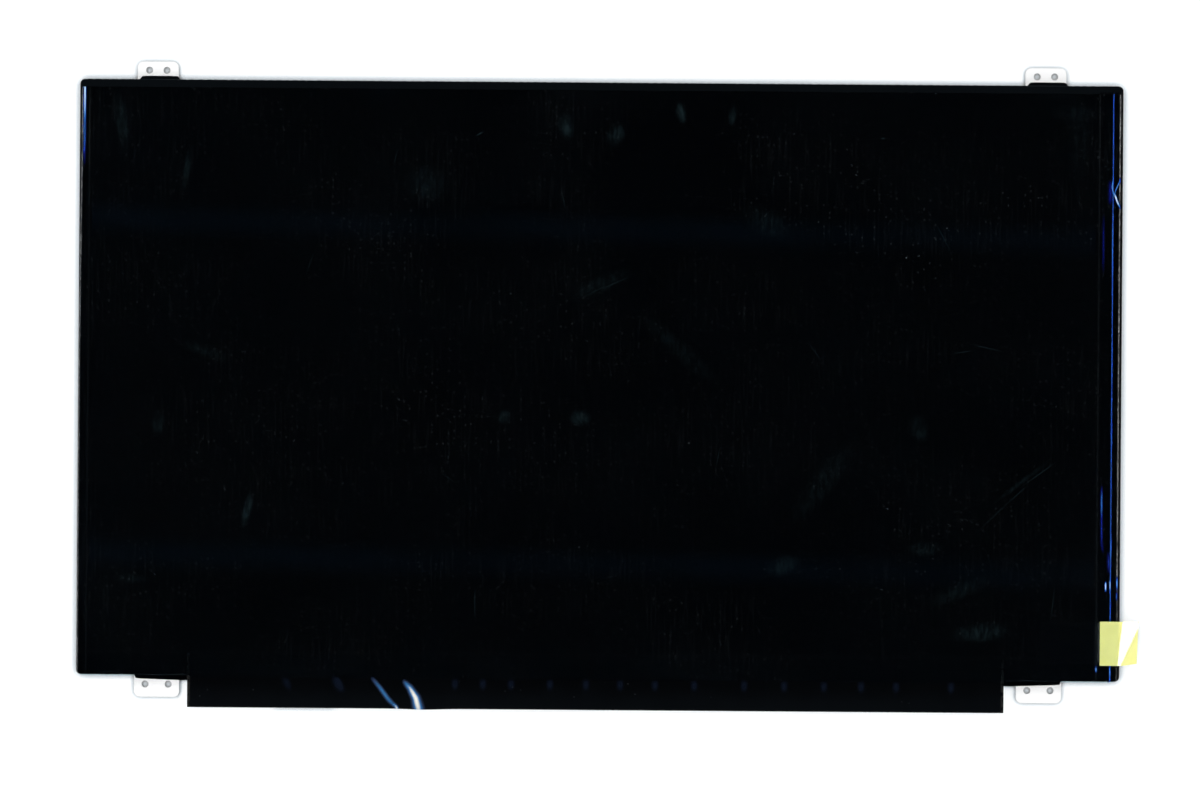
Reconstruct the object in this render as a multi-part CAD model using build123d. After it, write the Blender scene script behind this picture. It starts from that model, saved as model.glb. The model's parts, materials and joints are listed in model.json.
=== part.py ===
from build123d import *
import math
import os
from typing import NamedTuple

# A bare 15.6-inch slim screen panel for a laptop, out of its lid, lying on its back with its face up.
# +X is the right and +Y the top of the picture, and +Z points out of the screen.
# The origin is the middle of the panel's outline, on the rear face of the back plate.
# All sizes are millimetres.

# Picture area, and the borders round it out to the faces of the edge tapes
ACTIVE_W = 344.23
ACTIVE_H = 193.54
SIDE_BORDER = 7.635
TOP_BORDER = 3.4
BOTTOM_BORDER = 8.26

# Thicknesses, from the back to the face
PLATE_T = 0.3
REFLECTOR_T = 0.2
GUIDE_T = 0.6
LOWER_DIFFUSER_T = 0.1
PRISM_T = 0.13
UPPER_DIFFUSER_T = 0.1
LEDGE_T = 0.35
CELL_TAPE_T = 0.05
REAR_POLARISER_T = 0.14
ARRAY_T = 0.4
FILTER_T = 0.4
FRONT_POLARISER_T = 0.2
PROTECT_T = 0.08
TAPE_T = 0.08

# Back plate: a pressed-out field, a rim and a turned-up flange with windows for the frame's hooks
FIELD_DEPTH = 0.25
FLANGE_H = 1.35
CORNER_RELIEF = 2.4
CORNER_R = 1.7
FIELD_CORNER_R = 3.0

# Two-hole ears of the back plate
TOP_EAR_INSET = 26.65
TOP_EAR_W = 14.1
TOP_EAR_REACH = 6.15
TOP_HOLE_SPACING = 6.0
TOP_HOLE_REACH = 3.2
BOTTOM_EAR_INSET = 27.65
BOTTOM_EAR_W = 15.6
BOTTOM_EAR_REACH = 7.7
BOTTOM_HOLE_SPACING = 8.0
BOTTOM_HOLE_REACH = 3.35
EAR_HOLE_D = 2.4
EAR_CORNER_R = 2.0
EAR_RELIEF = 0.6

# Moulded frame
SEAT_CLEAR = 0.05
SHEET_CLEAR = 0.06
GUIDE_CLEAR = 0.3
GLASS_CLEAR = 0.15
CELL_WALL = 1.0
LEDGE_MARGIN = 0.7
STOP_RIB_H = 0.3
STOP_RIB_W = 0.8
STOP_RIB_L = 12.0

# Hooks that hold the frame in the back plate's flange
HOOK_L = 6.0
HOOK_H = 0.45
HOOK_PROUD = 0.25
HOOK_RAMP = 0.2
HOOK_LIFT = 0.3
WINDOW_CLEAR = 0.1
HOOKS_LONG = 4
HOOK_PITCH_LONG = 70.0
HOOKS_SHORT = 3
HOOK_PITCH_SHORT = 55.0

# Light guide, optical sheets and the row of LEDs along the bottom edge
GUIDE_SIDE = 2.2
GUIDE_TOP = 1.2
GUIDE_BOTTOM = 2.6
SHEET_INSET = 0.2
LED_COUNT = 42
LED_W = 3.8
LED_D = 1.0
LED_H = 0.6
LED_WINDOW_DEPTH = 0.15
LED_WINDOW_RIM = 0.12
LED_GAP = 0.1
CIRCUIT_T = 0.12
CIRCUIT_D = 3.0
TAIL_X = 70.0
TAIL_W = 9.0
TAIL_CLEAR = 0.4
TAIL_LIFT = 0.03
TAIL_RUN = 2.0
TAIL_LAP = 2.5

# Liquid-crystal cell
REAR_POLARISER_MARGIN = 0.5
CELL_TAPE_W = 3.0
CELL_TAPE_INSET = 0.4
POLARISER_SIDE = 4.185
POLARISER_ENDS = 0.6
FILTER_BELOW = 1.0
ARRAY_LEDGE = 3.4

# Control board strip below the panel, and the driver films that join it to the glass
STRIP_INSET_LEFT = 38.3
STRIP_INSET_RIGHT = 39.8
STRIP_REACH = 11.4
COVER_T = 0.08
COVER_RAMP = 1.5
COVER_GAP = 0.15
BOARD_T = 0.6
BOARD_GAP = 0.5
BOARD_INSET = 0.35
BOARD_CORNER_R = 0.8
DRIVER_COUNT = 4
DRIVER_W = 40.0
DRIVER_T = 0.05
DRIVER_BOND = 1.4
DRIVER_LAP = 1.6
DRIVER_SHOULDER = 2.0
CHIP_W = 20.0
CHIP_D = 1.3
CHIP_T = 0.35

# Signal connector on the rear of the board, its mouth towards the bottom edge
CONNECTOR_INSET = 40.0
CONNECTOR_W = 20.0
CONNECTOR_D = 3.6
CONNECTOR_H = 1.0
CONNECTOR_SETBACK = 0.2
MOUTH_W = 17.6
MOUTH_DEPTH = 2.6
MOUTH_H = 0.45
MOUTH_FLOOR = 0.3
CONTACT_COUNT = 30
CONTACT_PITCH = 0.5
CONTACT_W = 0.22
CONTACT_T = 0.1
CONTACT_FOOT = 0.75
CONTACT_RISE = 0.45
SHELL_T = 0.12
SHELL_FOOT = 0.8
SHELL_CLEAR = 0.02

# Parts on the rear of the board
PART_SPACING = 6.0
CONTROLLER_W = 8.0
CONTROLLER_H = 0.8
BACKLIGHT_W = 4.0
BACKLIGHT_H = 0.75
INDUCTOR_W = 5.0
INDUCTOR_H = 1.0
SHIFTER_W = 5.0
SHIFTER_H = 0.75
MEMORY_L = 4.9
MEMORY_D = 3.9
MEMORY_H = 0.8
PART_MARK_R = 0.35
PART_MARK_DEPTH = 0.05
PART_CHAMFER = 0.1
CAPACITOR_L = 1.6
CAPACITOR_W = 0.8
CAPACITOR_H = 0.8
RESISTOR_L = 1.0
RESISTOR_W = 0.5
RESISTOR_H = 0.35
TERMINAL_L = 0.3
TERMINAL_PROUD = 0.03
PASSIVE_PITCH = 4.4
CAPACITORS_PER_FILM = 5
RESISTORS_PER_FILM = 4

# Edge tapes
TAPE_GAP = 0.1
RIGHT_TAPE_LAP = 4.55
RIGHT_TAPE_OVERHANG = 0.4
REAR_LIP_GAP = 0.3
FLAP_SHIFT = 0.7
TOP_FLAP_W = 14.2
TOP_FLAP_REACH = 1.25
TOP_FLAP_TAPER = 1.0
BOTTOM_FLAP_NEAR = 1.4
BOTTOM_FLAP_FAR = 2.0
BOTTOM_FLAP_TAPER = 0.6

# Protective film over the face, and the tape and tab that pull it off
FILM_INSET = 0.78
FILM_OVERHANG = 0.4
FILM_DRAPE = 1.0
PULL_T = 0.06
PULL_LEFT_INSET = 27.05
PULL_END_INSET = 3.75
PULL_H = 14.0
PULL_ABOVE_BOTTOM = 6.25
TAB_T = 0.12
TAB_INSET = 6.8
TAB_FLAT = 5.6
TAB_CURL_R = 18.0
TAB_CURL_L = 8.1
TAB_H = 15.2
TAB_BELOW_TAPE = 0.75


class Outline(NamedTuple):
    """A rectangle seen from the front, by its four edges."""

    left: float
    right: float
    bottom: float
    top: float

    def grown(self, margin):
        """The same rectangle with every edge moved out by the margin."""
        return Outline(self.left - margin, self.right + margin, self.bottom - margin, self.top + margin)

    def sketch(self, radius=0.0):
        """The rectangle as a flat face, with its corners rounded where a radius is given."""
        width, height = self.right - self.left, self.top - self.bottom
        middle = Pos((self.left + self.right) / 2, (self.bottom + self.top) / 2)
        if radius > 0:
            return middle * RectangleRounded(width, height, radius)
        return middle * Rectangle(width, height)

    def slab(self, low, high, radius=0.0):
        """The rectangle as a plate between two heights."""
        return Pos(0, 0, low) * extrude(self.sketch(radius), high - low)


# Plan of the panel: each outline follows from the picture area and the pieces round it
half_w = ACTIVE_W / 2 + SIDE_BORDER
half_h = (ACTIVE_H + TOP_BORDER + BOTTOM_BORDER) / 2
active = Outline(-ACTIVE_W / 2, ACTIVE_W / 2, half_h - TOP_BORDER - ACTIVE_H, half_h - TOP_BORDER)
body = Outline(-half_w, half_w, -half_h, half_h)
sheet_metal = body.grown(-TAPE_T)
inside_flange = sheet_metal.grown(-PLATE_T)
frame_seat = inside_flange.grown(-SEAT_CLEAR)
guide = Outline(
    active.left - GUIDE_SIDE, active.right + GUIDE_SIDE, active.bottom - GUIDE_BOTTOM, active.top + GUIDE_TOP
)
circuit = Outline(
    guide.left + FIELD_CORNER_R,
    guide.right - FIELD_CORNER_R,
    guide.bottom - LED_GAP - CIRCUIT_D,
    guide.bottom - LED_GAP,
)
room = Outline(guide.left, guide.right, circuit.bottom, guide.top).grown(GUIDE_CLEAR)
window = active.grown(LEDGE_MARGIN)
polariser = Outline(
    active.left - POLARISER_SIDE,
    active.right + POLARISER_SIDE,
    active.bottom - POLARISER_ENDS,
    active.top + POLARISER_ENDS,
)
cell_wall = sheet_metal.grown(-CELL_WALL)
glass_top = cell_wall.top - GLASS_CLEAR
filter_glass = Outline(
    cell_wall.left + GLASS_CLEAR, cell_wall.right - GLASS_CLEAR, polariser.bottom - FILTER_BELOW, glass_top
)
array_glass = filter_glass._replace(bottom=filter_glass.bottom - ARRAY_LEDGE)
strip = Outline(
    body.left + STRIP_INSET_LEFT,
    body.right - STRIP_INSET_RIGHT,
    body.bottom - STRIP_REACH,
    polariser.bottom - COVER_GAP,
)
board = Outline(
    strip.left + BOARD_INSET, strip.right - BOARD_INSET, strip.bottom + BOARD_INSET, body.bottom - BOARD_GAP
)
driver_bottom = board.top - DRIVER_LAP
driver_top = array_glass.bottom + DRIVER_BOND

# Heights of the stack, from the rear face of the back plate
rim_rear = FIELD_DEPTH
rim_front = rim_rear + PLATE_T
flange_top = rim_rear + FLANGE_H
reflector_z = PLATE_T
guide_z = reflector_z + REFLECTOR_T
lower_diffuser_z = guide_z + GUIDE_T
lower_prism_z = lower_diffuser_z + LOWER_DIFFUSER_T
upper_prism_z = lower_prism_z + PRISM_T
upper_diffuser_z = upper_prism_z + PRISM_T
ledge_rear = upper_diffuser_z + UPPER_DIFFUSER_T + SHEET_CLEAR
ledge_front = ledge_rear + LEDGE_T
array_z = ledge_front + CELL_TAPE_T
filter_z = array_z + ARRAY_T
face_z = filter_z + FILTER_T
polariser_front = face_z + FRONT_POLARISER_T
board_front = filter_z
board_rear = board_front - BOARD_T

# A sheet bent by 45 degrees keeps its thickness when its outer bend line is set off by this much
bend_offset = PLATE_T * math.tan(math.radians(22.5))
field_rear = room.grown(bend_offset)
rear_lip = field_rear.grown(FIELD_DEPTH + REAR_LIP_GAP)

# The pieces that lie in the field have corners concentric with its own
guide_corner_r = max(FIELD_CORNER_R - GUIDE_CLEAR, 0)


def evenly(count, pitch):
    """Places of a row of equal steps, centred on zero."""
    return [(i - (count - 1) / 2) * pitch for i in range(count)]


def along_x(points, left, right):
    """Extrudes a section drawn in (y, z) from left to right."""
    section = make_face(Polyline(*points, close=True))
    return Pos(left, 0, 0) * extrude(Plane.YZ * section, right - left)


def along_y(points, bottom, top):
    """Extrudes a section drawn in (x, z) from bottom to top."""
    section = make_face(Polyline(*points, close=True))
    return Pos(0, top, 0) * extrude(Plane.XZ * section, top - bottom)


def plan(points, low, high):
    """Extrudes a shape drawn in (x, y) between two heights."""
    return Pos(0, 0, low) * extrude(make_face(Polyline(*points, close=True)), high - low)


def set_off(path, distance):
    """Moves a path to its left by a distance, keeping its corners sharp."""
    normals = []
    for (u0, v0), (u1, v1) in zip(path, path[1:]):
        length = math.hypot(u1 - u0, v1 - v0)
        normals.append(((v0 - v1) / length, (u1 - u0) / length))
    pairs = zip(path, normals[:1] + normals, normals + normals[-1:])
    moved = []
    for (u, v), (a, b), (c, d) in pairs:
        scale = distance / (1 + a * c + b * d)
        moved.append((u + (a + c) * scale, v + (b + d) * scale))
    return moved


def sheet_section(path, thickness):
    """Closed section of a bent sheet: the path is one face, and the other lies to its left."""
    return path + set_off(path, thickness)[::-1]


def flipped(points):
    """Turns a section round to the opposite side of the panel."""
    return [(-u, v) for u, v in points]


class Ear(NamedTuple):
    """One two-hole ear of the back plate; end is 1 at the panel's top and -1 at its bottom."""

    x: float
    end: int
    width: float
    reach: float
    spacing: float
    hole_reach: float

    def gap(self):
        """Left and right limits of the flange's gap at the ear."""
        half = self.width / 2 + EAR_RELIEF
        return self.x - half, self.x + half

    def plate(self):
        """The ear itself, from inside the rim to its rounded tip."""
        root = sheet_metal.top - EAR_CORNER_R
        height = half_h + self.reach - root
        tongue = Pos(self.x, self.end * (root + height / 2), rim_rear) * extrude(
            Rectangle(self.width, height), PLATE_T
        )
        upright = tongue.edges().filter_by(Axis.Z).sort_by(Axis.Y)
        tips = upright[-2:] if self.end > 0 else upright[:2]
        return fillet(tips, EAR_CORNER_R)

    def holes(self):
        """The two screw holes as cutters."""
        y = self.end * (half_h + self.hole_reach)
        drill = Cylinder(EAR_HOLE_D / 2, 4 * PLATE_T)
        return [Pos(self.x + x, y, rim_rear + PLATE_T / 2) * drill for x in evenly(2, self.spacing)]


top_ears = [
    Ear(side * (half_w - TOP_EAR_INSET), 1, TOP_EAR_W, TOP_EAR_REACH, TOP_HOLE_SPACING, TOP_HOLE_REACH)
    for side in (-1, 1)
]
bottom_ears = [
    Ear(
        side * (half_w - BOTTOM_EAR_INSET),
        -1,
        BOTTOM_EAR_W,
        BOTTOM_EAR_REACH,
        BOTTOM_HOLE_SPACING,
        BOTTOM_HOLE_REACH,
    )
    for side in (-1, 1)
]


def hook_places():
    """Each hook's turn about Z, its place along that side and the side's distance from the middle."""
    long_sides = [(turn, place) for turn in (90, 270) for place in evenly(HOOKS_LONG, HOOK_PITCH_LONG)]
    short_sides = [(turn, place) for turn in (0, 180) for place in evenly(HOOKS_SHORT, HOOK_PITCH_SHORT)]
    return [(turn, place, half_h) for turn, place in long_sides] + [
        (turn, place, half_w) for turn, place in short_sides
    ]


def back_plate():
    """Stamped plate: field pressed out to the rear, rim, windowed flange and four ears."""
    rim = sheet_metal.slab(rim_rear, rim_front, CORNER_R)
    field = extrude(field_rear.sketch(FIELD_CORNER_R), FIELD_DEPTH, taper=-45)
    hollow = extrude(room.sketch(FIELD_CORNER_R), FIELD_DEPTH, taper=-45)
    flange = sheet_metal.slab(rim_rear, flange_top, CORNER_R) - inside_flange.slab(rim_rear, flange_top)
    for side in (-1, 1):
        for end in (-1, 1):
            corner = Box(2 * CORNER_RELIEF, 2 * CORNER_RELIEF, 2 * FLANGE_H)
            flange -= Pos(side * sheet_metal.right, end * sheet_metal.top, rim_front + FLANGE_H) * corner
    for ear in top_ears + bottom_ears:
        left, right = ear.gap()
        near, far = sorted((ear.end * inside_flange.top, ear.end * (half_h + EAR_RELIEF)))
        flange -= Outline(left, right, near - EAR_RELIEF, far).slab(rim_rear, flange_top)
    plate = rim + field + flange
    plate -= Pos(0, 0, PLATE_T) * hollow
    for ear in top_ears + bottom_ears:
        plate += ear.plate()
        for hole in ear.holes():
            plate -= hole
    for turn, place, side in hook_places():
        opening = Box(
            4 * PLATE_T, HOOK_L + 2 * WINDOW_CLEAR, HOOK_H + 2 * WINDOW_CLEAR
        )
        height = rim_front + HOOK_LIFT + HOOK_H / 2
        plate -= Rot(0, 0, turn) * Pos(side - TAPE_T - PLATE_T / 2, place, height) * opening
    tail_gap = Outline(
        TAIL_X - TAIL_W / 2 - TAIL_CLEAR,
        TAIL_X + TAIL_W / 2 + TAIL_CLEAR,
        body.bottom,
        inside_flange.bottom,
    )
    return plate - tail_gap.slab(rim_front, flange_top)


def mid_frame():
    """Moulded frame: lower wall in the flange, a ledge for the glass, and an outer wall round the glass."""
    frame = frame_seat.slab(rim_front, ledge_front, CORNER_R)
    frame += sheet_metal.slab(flange_top + SEAT_CLEAR, face_z, CORNER_R)
    frame -= room.slab(rim_front, ledge_rear)
    frame -= window.slab(ledge_rear, ledge_front)
    glass_seat = cell_wall._replace(bottom=array_glass.bottom - GLASS_CLEAR)
    frame -= glass_seat.slab(ledge_front, face_z)
    open_front = Outline(
        strip.left - COVER_GAP, strip.right + COVER_GAP, body.bottom, glass_seat.bottom + GLASS_CLEAR
    )
    frame -= open_front.slab(ledge_front, face_z)
    corner_room = Outline(cell_wall.left, cell_wall.right, cell_wall.bottom, glass_seat.bottom + GLASS_CLEAR)
    frame -= corner_room.slab(ledge_front, face_z)
    for x in evenly(DRIVER_COUNT + 1, (board.right - board.left) / DRIVER_COUNT)[1:-1]:
        middle = (board.left + board.right) / 2 + x
        rib_top = array_glass.bottom - GLASS_CLEAR
        rib = Outline(middle - STOP_RIB_L / 2, middle + STOP_RIB_L / 2, rib_top - STOP_RIB_W, rib_top)
        frame += rib.slab(ledge_front, ledge_front + STOP_RIB_H)
    low = rim_front + HOOK_LIFT
    for turn, place, side in hook_places():
        wall = side - TAPE_T - PLATE_T - SEAT_CLEAR
        section = [
            (wall - HOOK_PROUD, low),
            (wall, low),
            (wall + HOOK_PROUD, low + HOOK_RAMP),
            (wall + HOOK_PROUD, low + HOOK_H),
            (wall - HOOK_PROUD, low + HOOK_H),
        ]
        frame += Rot(0, 0, turn) * along_y(section, place - HOOK_L / 2, place + HOOK_L / 2)
    tail_way = Outline(
        TAIL_X - TAIL_W / 2 - TAIL_CLEAR,
        TAIL_X + TAIL_W / 2 + TAIL_CLEAR,
        body.bottom,
        room.bottom + GUIDE_CLEAR,
    )
    return frame - tail_way.slab(rim_front, rim_front + CIRCUIT_T + TAIL_LIFT + TAIL_CLEAR)


def optical_sheet(low, thickness):
    """One loose sheet of the stack on the light guide."""
    return guide.grown(-SHEET_INSET).slab(low, low + thickness)


def led_circuit():
    """Flexible circuit under the LEDs, with a tail that climbs out to the rear of the board."""
    circuit_top = PLATE_T + CIRCUIT_T
    flat = circuit.slab(PLATE_T, circuit_top)
    over_rim = room.bottom - FIELD_DEPTH
    path = [
        (circuit.bottom + GUIDE_CLEAR, PLATE_T),
        (circuit.bottom, PLATE_T),
        (over_rim, rim_front + TAIL_LIFT),
        (body.bottom - TAIL_LIFT, rim_front + TAIL_LIFT),
        (board.top - TAIL_RUN, board_rear - CIRCUIT_T),
        (board.top - TAIL_RUN - TAIL_LAP, board_rear - CIRCUIT_T),
    ]
    tail = along_x(sheet_section(path, -CIRCUIT_T), TAIL_X - TAIL_W / 2, TAIL_X + TAIL_W / 2)
    return flat + tail


def leds():
    """Row of side-view LEDs that face the light guide's bottom edge."""
    front = guide.bottom - LED_GAP
    low = PLATE_T + CIRCUIT_T
    package = Outline(-LED_W / 2, LED_W / 2, front - LED_D, front).slab(low, low + LED_H)
    lens = Outline(-LED_W / 2, LED_W / 2, front - LED_WINDOW_DEPTH, front + LED_WINDOW_DEPTH)
    recess = Outline(lens.left + LED_WINDOW_RIM, lens.right - LED_WINDOW_RIM, lens.bottom, lens.top)
    package -= recess.slab(low + LED_WINDOW_RIM, low + LED_H - LED_WINDOW_RIM)
    pitch = (guide.right - guide.left) / LED_COUNT
    return [Pos(x, 0, 0) * package for x in evenly(LED_COUNT, pitch)]


def cell_tape():
    """Double-sided tape ring between the frame's ledge and the glass."""
    outer = array_glass.grown(-CELL_TAPE_INSET)
    inner = Outline(
        outer.left + CELL_TAPE_W, outer.right - CELL_TAPE_W, window.bottom - CELL_TAPE_INSET, window.top + CELL_TAPE_INSET
    )
    return outer.slab(ledge_front, array_z) - inner.slab(ledge_front, array_z)


def driver_places():
    """Middle of each driver film along the board."""
    middle = (board.left + board.right) / 2
    return [middle + x for x in evenly(DRIVER_COUNT, (board.right - board.left) / DRIVER_COUNT)]


def driver_film(x):
    """Thin film from the glass ledge to the board, narrower where it meets the glass."""
    half = DRIVER_W / 2
    neck = half - DRIVER_SHOULDER
    shoulder = array_glass.bottom - DRIVER_SHOULDER
    points = [
        (x - half, driver_bottom),
        (x + half, driver_bottom),
        (x + half, shoulder),
        (x + neck, array_glass.bottom),
        (x + neck, driver_top),
        (x - neck, driver_top),
        (x - neck, array_glass.bottom),
        (x - half, shoulder),
    ]
    return plan(points, board_front, board_front + DRIVER_T)


def driver_chip(x):
    """Long thin chip under a driver film, in the gap between the glass and the board."""
    middle = (array_glass.bottom + board.top) / 2
    chip = Outline(x - CHIP_W / 2, x + CHIP_W / 2, middle - CHIP_D / 2, middle + CHIP_D / 2)
    return chip.slab(board_front - CHIP_T, board_front)


def control_board():
    """Narrow printed board along the bottom edge."""
    return board.slab(board_rear, board_front, BOARD_CORNER_R)


def board_cover_film():
    """Black film over the board, the driver films and the edge of the glass."""
    over_films = board_front + DRIVER_T
    path = [
        (strip.bottom, board_front),
        (driver_bottom - COVER_GAP, board_front),
        (driver_bottom, over_films),
        (filter_glass.bottom - COVER_RAMP, over_films),
        (filter_glass.bottom, face_z),
        (strip.top, face_z),
    ]
    return along_x(sheet_section(path, COVER_T), strip.left, strip.right)


connector_x = board.left + CONNECTOR_INSET
connector_front = board.bottom + CONNECTOR_SETBACK
connector_back = connector_front + CONNECTOR_D


def connector_housing():
    """Low plastic block with a wide flat mouth."""
    block = Outline(
        connector_x - CONNECTOR_W / 2, connector_x + CONNECTOR_W / 2, connector_front, connector_back
    ).slab(board_rear - CONNECTOR_H, board_rear)
    mouth = Outline(
        connector_x - MOUTH_W / 2, connector_x + MOUTH_W / 2, connector_front, connector_front + MOUTH_DEPTH
    )
    ceiling = board_rear - MOUTH_FLOOR
    return block - mouth.slab(ceiling - MOUTH_H, ceiling)


def connector_shell():
    """Folded metal cover over the housing, with a soldered foot at each end."""
    half = CONNECTOR_W / 2 + SHELL_CLEAR
    under = board_rear - CONNECTOR_H
    path = [
        (connector_x - half - SHELL_FOOT, board_rear),
        (connector_x - half, board_rear),
        (connector_x - half, under),
        (connector_x + half, under),
        (connector_x + half, board_rear),
        (connector_x + half + SHELL_FOOT, board_rear),
    ]
    return along_y(sheet_section(path, -SHELL_T), connector_front, connector_back)


def connector_contacts():
    """Soldered feet behind the housing, and the blades on the roof of the mouth."""
    foot_path = [
        (connector_back + CONTACT_FOOT, board_rear),
        (connector_back, board_rear),
        (connector_back, board_rear - CONTACT_RISE),
    ]
    foot = along_x(sheet_section(foot_path, CONTACT_T), -CONTACT_W / 2, CONTACT_W / 2)
    ceiling = board_rear - MOUTH_FLOOR
    blade = Outline(
        -CONTACT_W / 2,
        CONTACT_W / 2,
        connector_front + CONTACT_RISE,
        connector_front + MOUTH_DEPTH,
    ).slab(ceiling - CONTACT_T, ceiling)
    places = [connector_x + x for x in evenly(CONTACT_COUNT, CONTACT_PITCH)]
    return [Pos(x, 0, 0) * piece for x in places for piece in (foot, blade)]


# The supply parts stand beside the tail's joint, and the picture parts in the middle of the board
board_middle = (board.bottom + board.top) / 2
controller_x = (board.left + board.right) / 2
memory_x = controller_x - CONTROLLER_W / 2 - PART_SPACING - MEMORY_L / 2
shifter_x = controller_x + CONTROLLER_W / 2 + PART_SPACING + SHIFTER_W / 2
inductor_x = TAIL_X - TAIL_W / 2 - PART_SPACING - INDUCTOR_W / 2
backlight_x = inductor_x - INDUCTOR_W / 2 - PART_SPACING / 2 - BACKLIGHT_W / 2


def board_chip(x, width, depth, height):
    """Square-cornered chip on the rear of the board, with a round mark at one corner."""
    chip = Outline(x - width / 2, x + width / 2, board_middle - depth / 2, board_middle + depth / 2)
    block = chip.slab(board_rear - height, board_rear)
    block = chamfer(block.faces().sort_by(Axis.Z)[0].edges(), PART_CHAMFER)
    mark = Cylinder(PART_MARK_R, 2 * PART_MARK_DEPTH)
    inset = PART_CHAMFER + 2 * PART_MARK_R
    return block - Pos(chip.left + inset, chip.top - inset, board_rear - height) * mark


def power_inductor():
    """Shielded inductor of the backlight supply, with rounded upright edges."""
    half = INDUCTOR_W / 2
    plate = Outline(inductor_x - half, inductor_x + half, board_middle - half, board_middle + half)
    return plate.slab(board_rear - INDUCTOR_H, board_rear, half / 2)


def passive(length, width, height):
    """A chip capacitor or resistor: a body between two slightly larger soldered ends."""
    inner = width - 2 * TERMINAL_PROUD
    middle = Outline(-length / 2, length / 2, -inner / 2, inner / 2)
    piece = middle.slab(board_rear - height + TERMINAL_PROUD, board_rear)
    for end in (-1, 1):
        cap = Box(TERMINAL_L, width, height)
        piece += Pos(end * (length - TERMINAL_L) / 2, 0, board_rear - height / 2) * cap
    return piece


def board_capacitors():
    """A row of capacitors beside each driver film's joint with the board."""
    piece = passive(CAPACITOR_L, CAPACITOR_W, CAPACITOR_H)
    y = driver_bottom
    return [
        Pos(x + step, y, 0) * piece
        for x in driver_places()
        for step in evenly(CAPACITORS_PER_FILM, PASSIVE_PITCH)
    ]


def board_resistors():
    """A row of resistors between the capacitors."""
    piece = passive(RESISTOR_L, RESISTOR_W, RESISTOR_H)
    y = driver_bottom
    return [
        Pos(x + step, y, 0) * piece
        for x in driver_places()
        for step in evenly(RESISTORS_PER_FILM, PASSIVE_PITCH)
    ]


tape_middle = (rim_front + face_z) / 2
right_tape_left = polariser.right - RIGHT_TAPE_LAP
tape_low = Outline(polariser.left - TAPE_GAP, right_tape_left - TAPE_GAP, strip.top, polariser.top + TAPE_GAP)
straight = sheet_metal.grown(-CORNER_R)


def front_wrap(inner, outer, low):
    """Section of a tape's front lip and side, drawn outwards from the panel's middle."""
    side = outer - TAPE_T
    return sheet_section([(inner, face_z), (side, face_z), (side, low)], TAPE_T)


def rear_wrap(inner, outer):
    """Section of a tape's lower side and rear lip."""
    side = outer - TAPE_T
    return sheet_section([(side, tape_middle), (side, rim_rear), (inner, rim_rear)], TAPE_T)


def side_wall(outer, high):
    """Section of a tape's bare side, where another tape covers the face."""
    return [(outer - TAPE_T, tape_middle), (outer, tape_middle), (outer, high), (outer - TAPE_T, high)]


def corner_lip(patch, low, within=body):
    """Flat lip of a tape at a corner of the panel, cut to the corner's round."""
    return patch.slab(low, low + TAPE_T) & within.slab(low, low + TAPE_T, CORNER_R + TAPE_T)


def corner_wall(left, right):
    """Side of a tape along a short edge and round the corners at its ends."""
    ring = body.slab(rim_rear, face_z, CORNER_R + TAPE_T) - sheet_metal.slab(rim_rear, face_z, CORNER_R)
    return ring & Outline(left, right, body.bottom, body.top).slab(rim_rear, face_z)


def edge_tape_top():
    """Tape round the top edge, with a tail folded out on each ear's root."""
    left, right = straight.left, straight.right
    tape = along_x(front_wrap(tape_low.top, half_h, tape_middle), left, tape_low.right)
    tape += along_x(side_wall(half_h, face_z), tape_low.right, right)
    tape += corner_lip(Outline(body.left, left, tape_low.top, body.top), face_z)
    for start, end in ((body.left, left), (right, body.right)):
        tape += corner_lip(Outline(start, end, rear_lip.top, body.top), rim_rear - TAPE_T)
    cuts = [left] + [limit for ear in top_ears for limit in ear.gap()] + [right]
    for start, end in zip(cuts[::2], cuts[1::2]):
        tape += along_x(rear_wrap(rear_lip.top, half_h), start, end)
    for ear in top_ears:
        start, end = ear.gap()
        tape += Outline(start, end, half_h - TAPE_T, half_h).slab(rim_front, face_z)
        middle = ear.x + FLAP_SHIFT
        tape += plan(
            [
                (middle - TOP_FLAP_W / 2, half_h - TAPE_T),
                (middle + TOP_FLAP_W / 2, half_h - TAPE_T),
                (middle + TOP_FLAP_W / 2 - TOP_FLAP_TAPER, half_h + TOP_FLAP_REACH),
                (middle - TOP_FLAP_W / 2 + TOP_FLAP_TAPER, half_h + TOP_FLAP_REACH),
            ],
            rim_front,
            rim_front + TAPE_T,
        )
    return tape


def edge_tape_left():
    """Tape round the left edge."""
    tape = along_y(flipped(front_wrap(-tape_low.left, half_w, tape_middle)), tape_low.bottom, tape_low.top)
    tape += along_y(flipped(rear_wrap(rear_lip.right, half_w)), rear_lip.bottom, rear_lip.top)
    return tape + corner_wall(body.left, straight.left)


def edge_tape_right():
    """Wide tape round the right edge, lapping on the polariser and stepping down past its ends."""
    step = polariser.right + TAPE_GAP
    over = [
        (right_tape_left, polariser_front),
        (step, polariser_front),
        (step + TAPE_GAP, face_z),
        (sheet_metal.right, face_z),
        (sheet_metal.right, tape_middle),
    ]
    tape = along_y(sheet_section(over, TAPE_T), polariser.bottom, polariser.top)
    ends = front_wrap(right_tape_left, half_w, tape_middle)
    tape += along_y(ends, polariser.top, straight.top)
    tape += along_y(ends, straight.bottom, polariser.bottom)
    hung = body._replace(bottom=body.bottom - RIGHT_TAPE_OVERHANG)
    for low, high in ((straight.top, hung.top), (hung.bottom, straight.bottom)):
        tape += corner_lip(Outline(right_tape_left, hung.right, low, high), face_z, hung)
    for low, high in ((polariser.top, polariser.top + TAPE_T), (polariser.bottom - TAPE_T, polariser.bottom)):
        riser = Outline(right_tape_left, step, low, high)
        tape += riser.slab(face_z, polariser_front + TAPE_T)
    tape += along_y(rear_wrap(rear_lip.right, half_w), rear_lip.bottom, rear_lip.top)
    return tape + corner_wall(straight.right, body.right)


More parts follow.
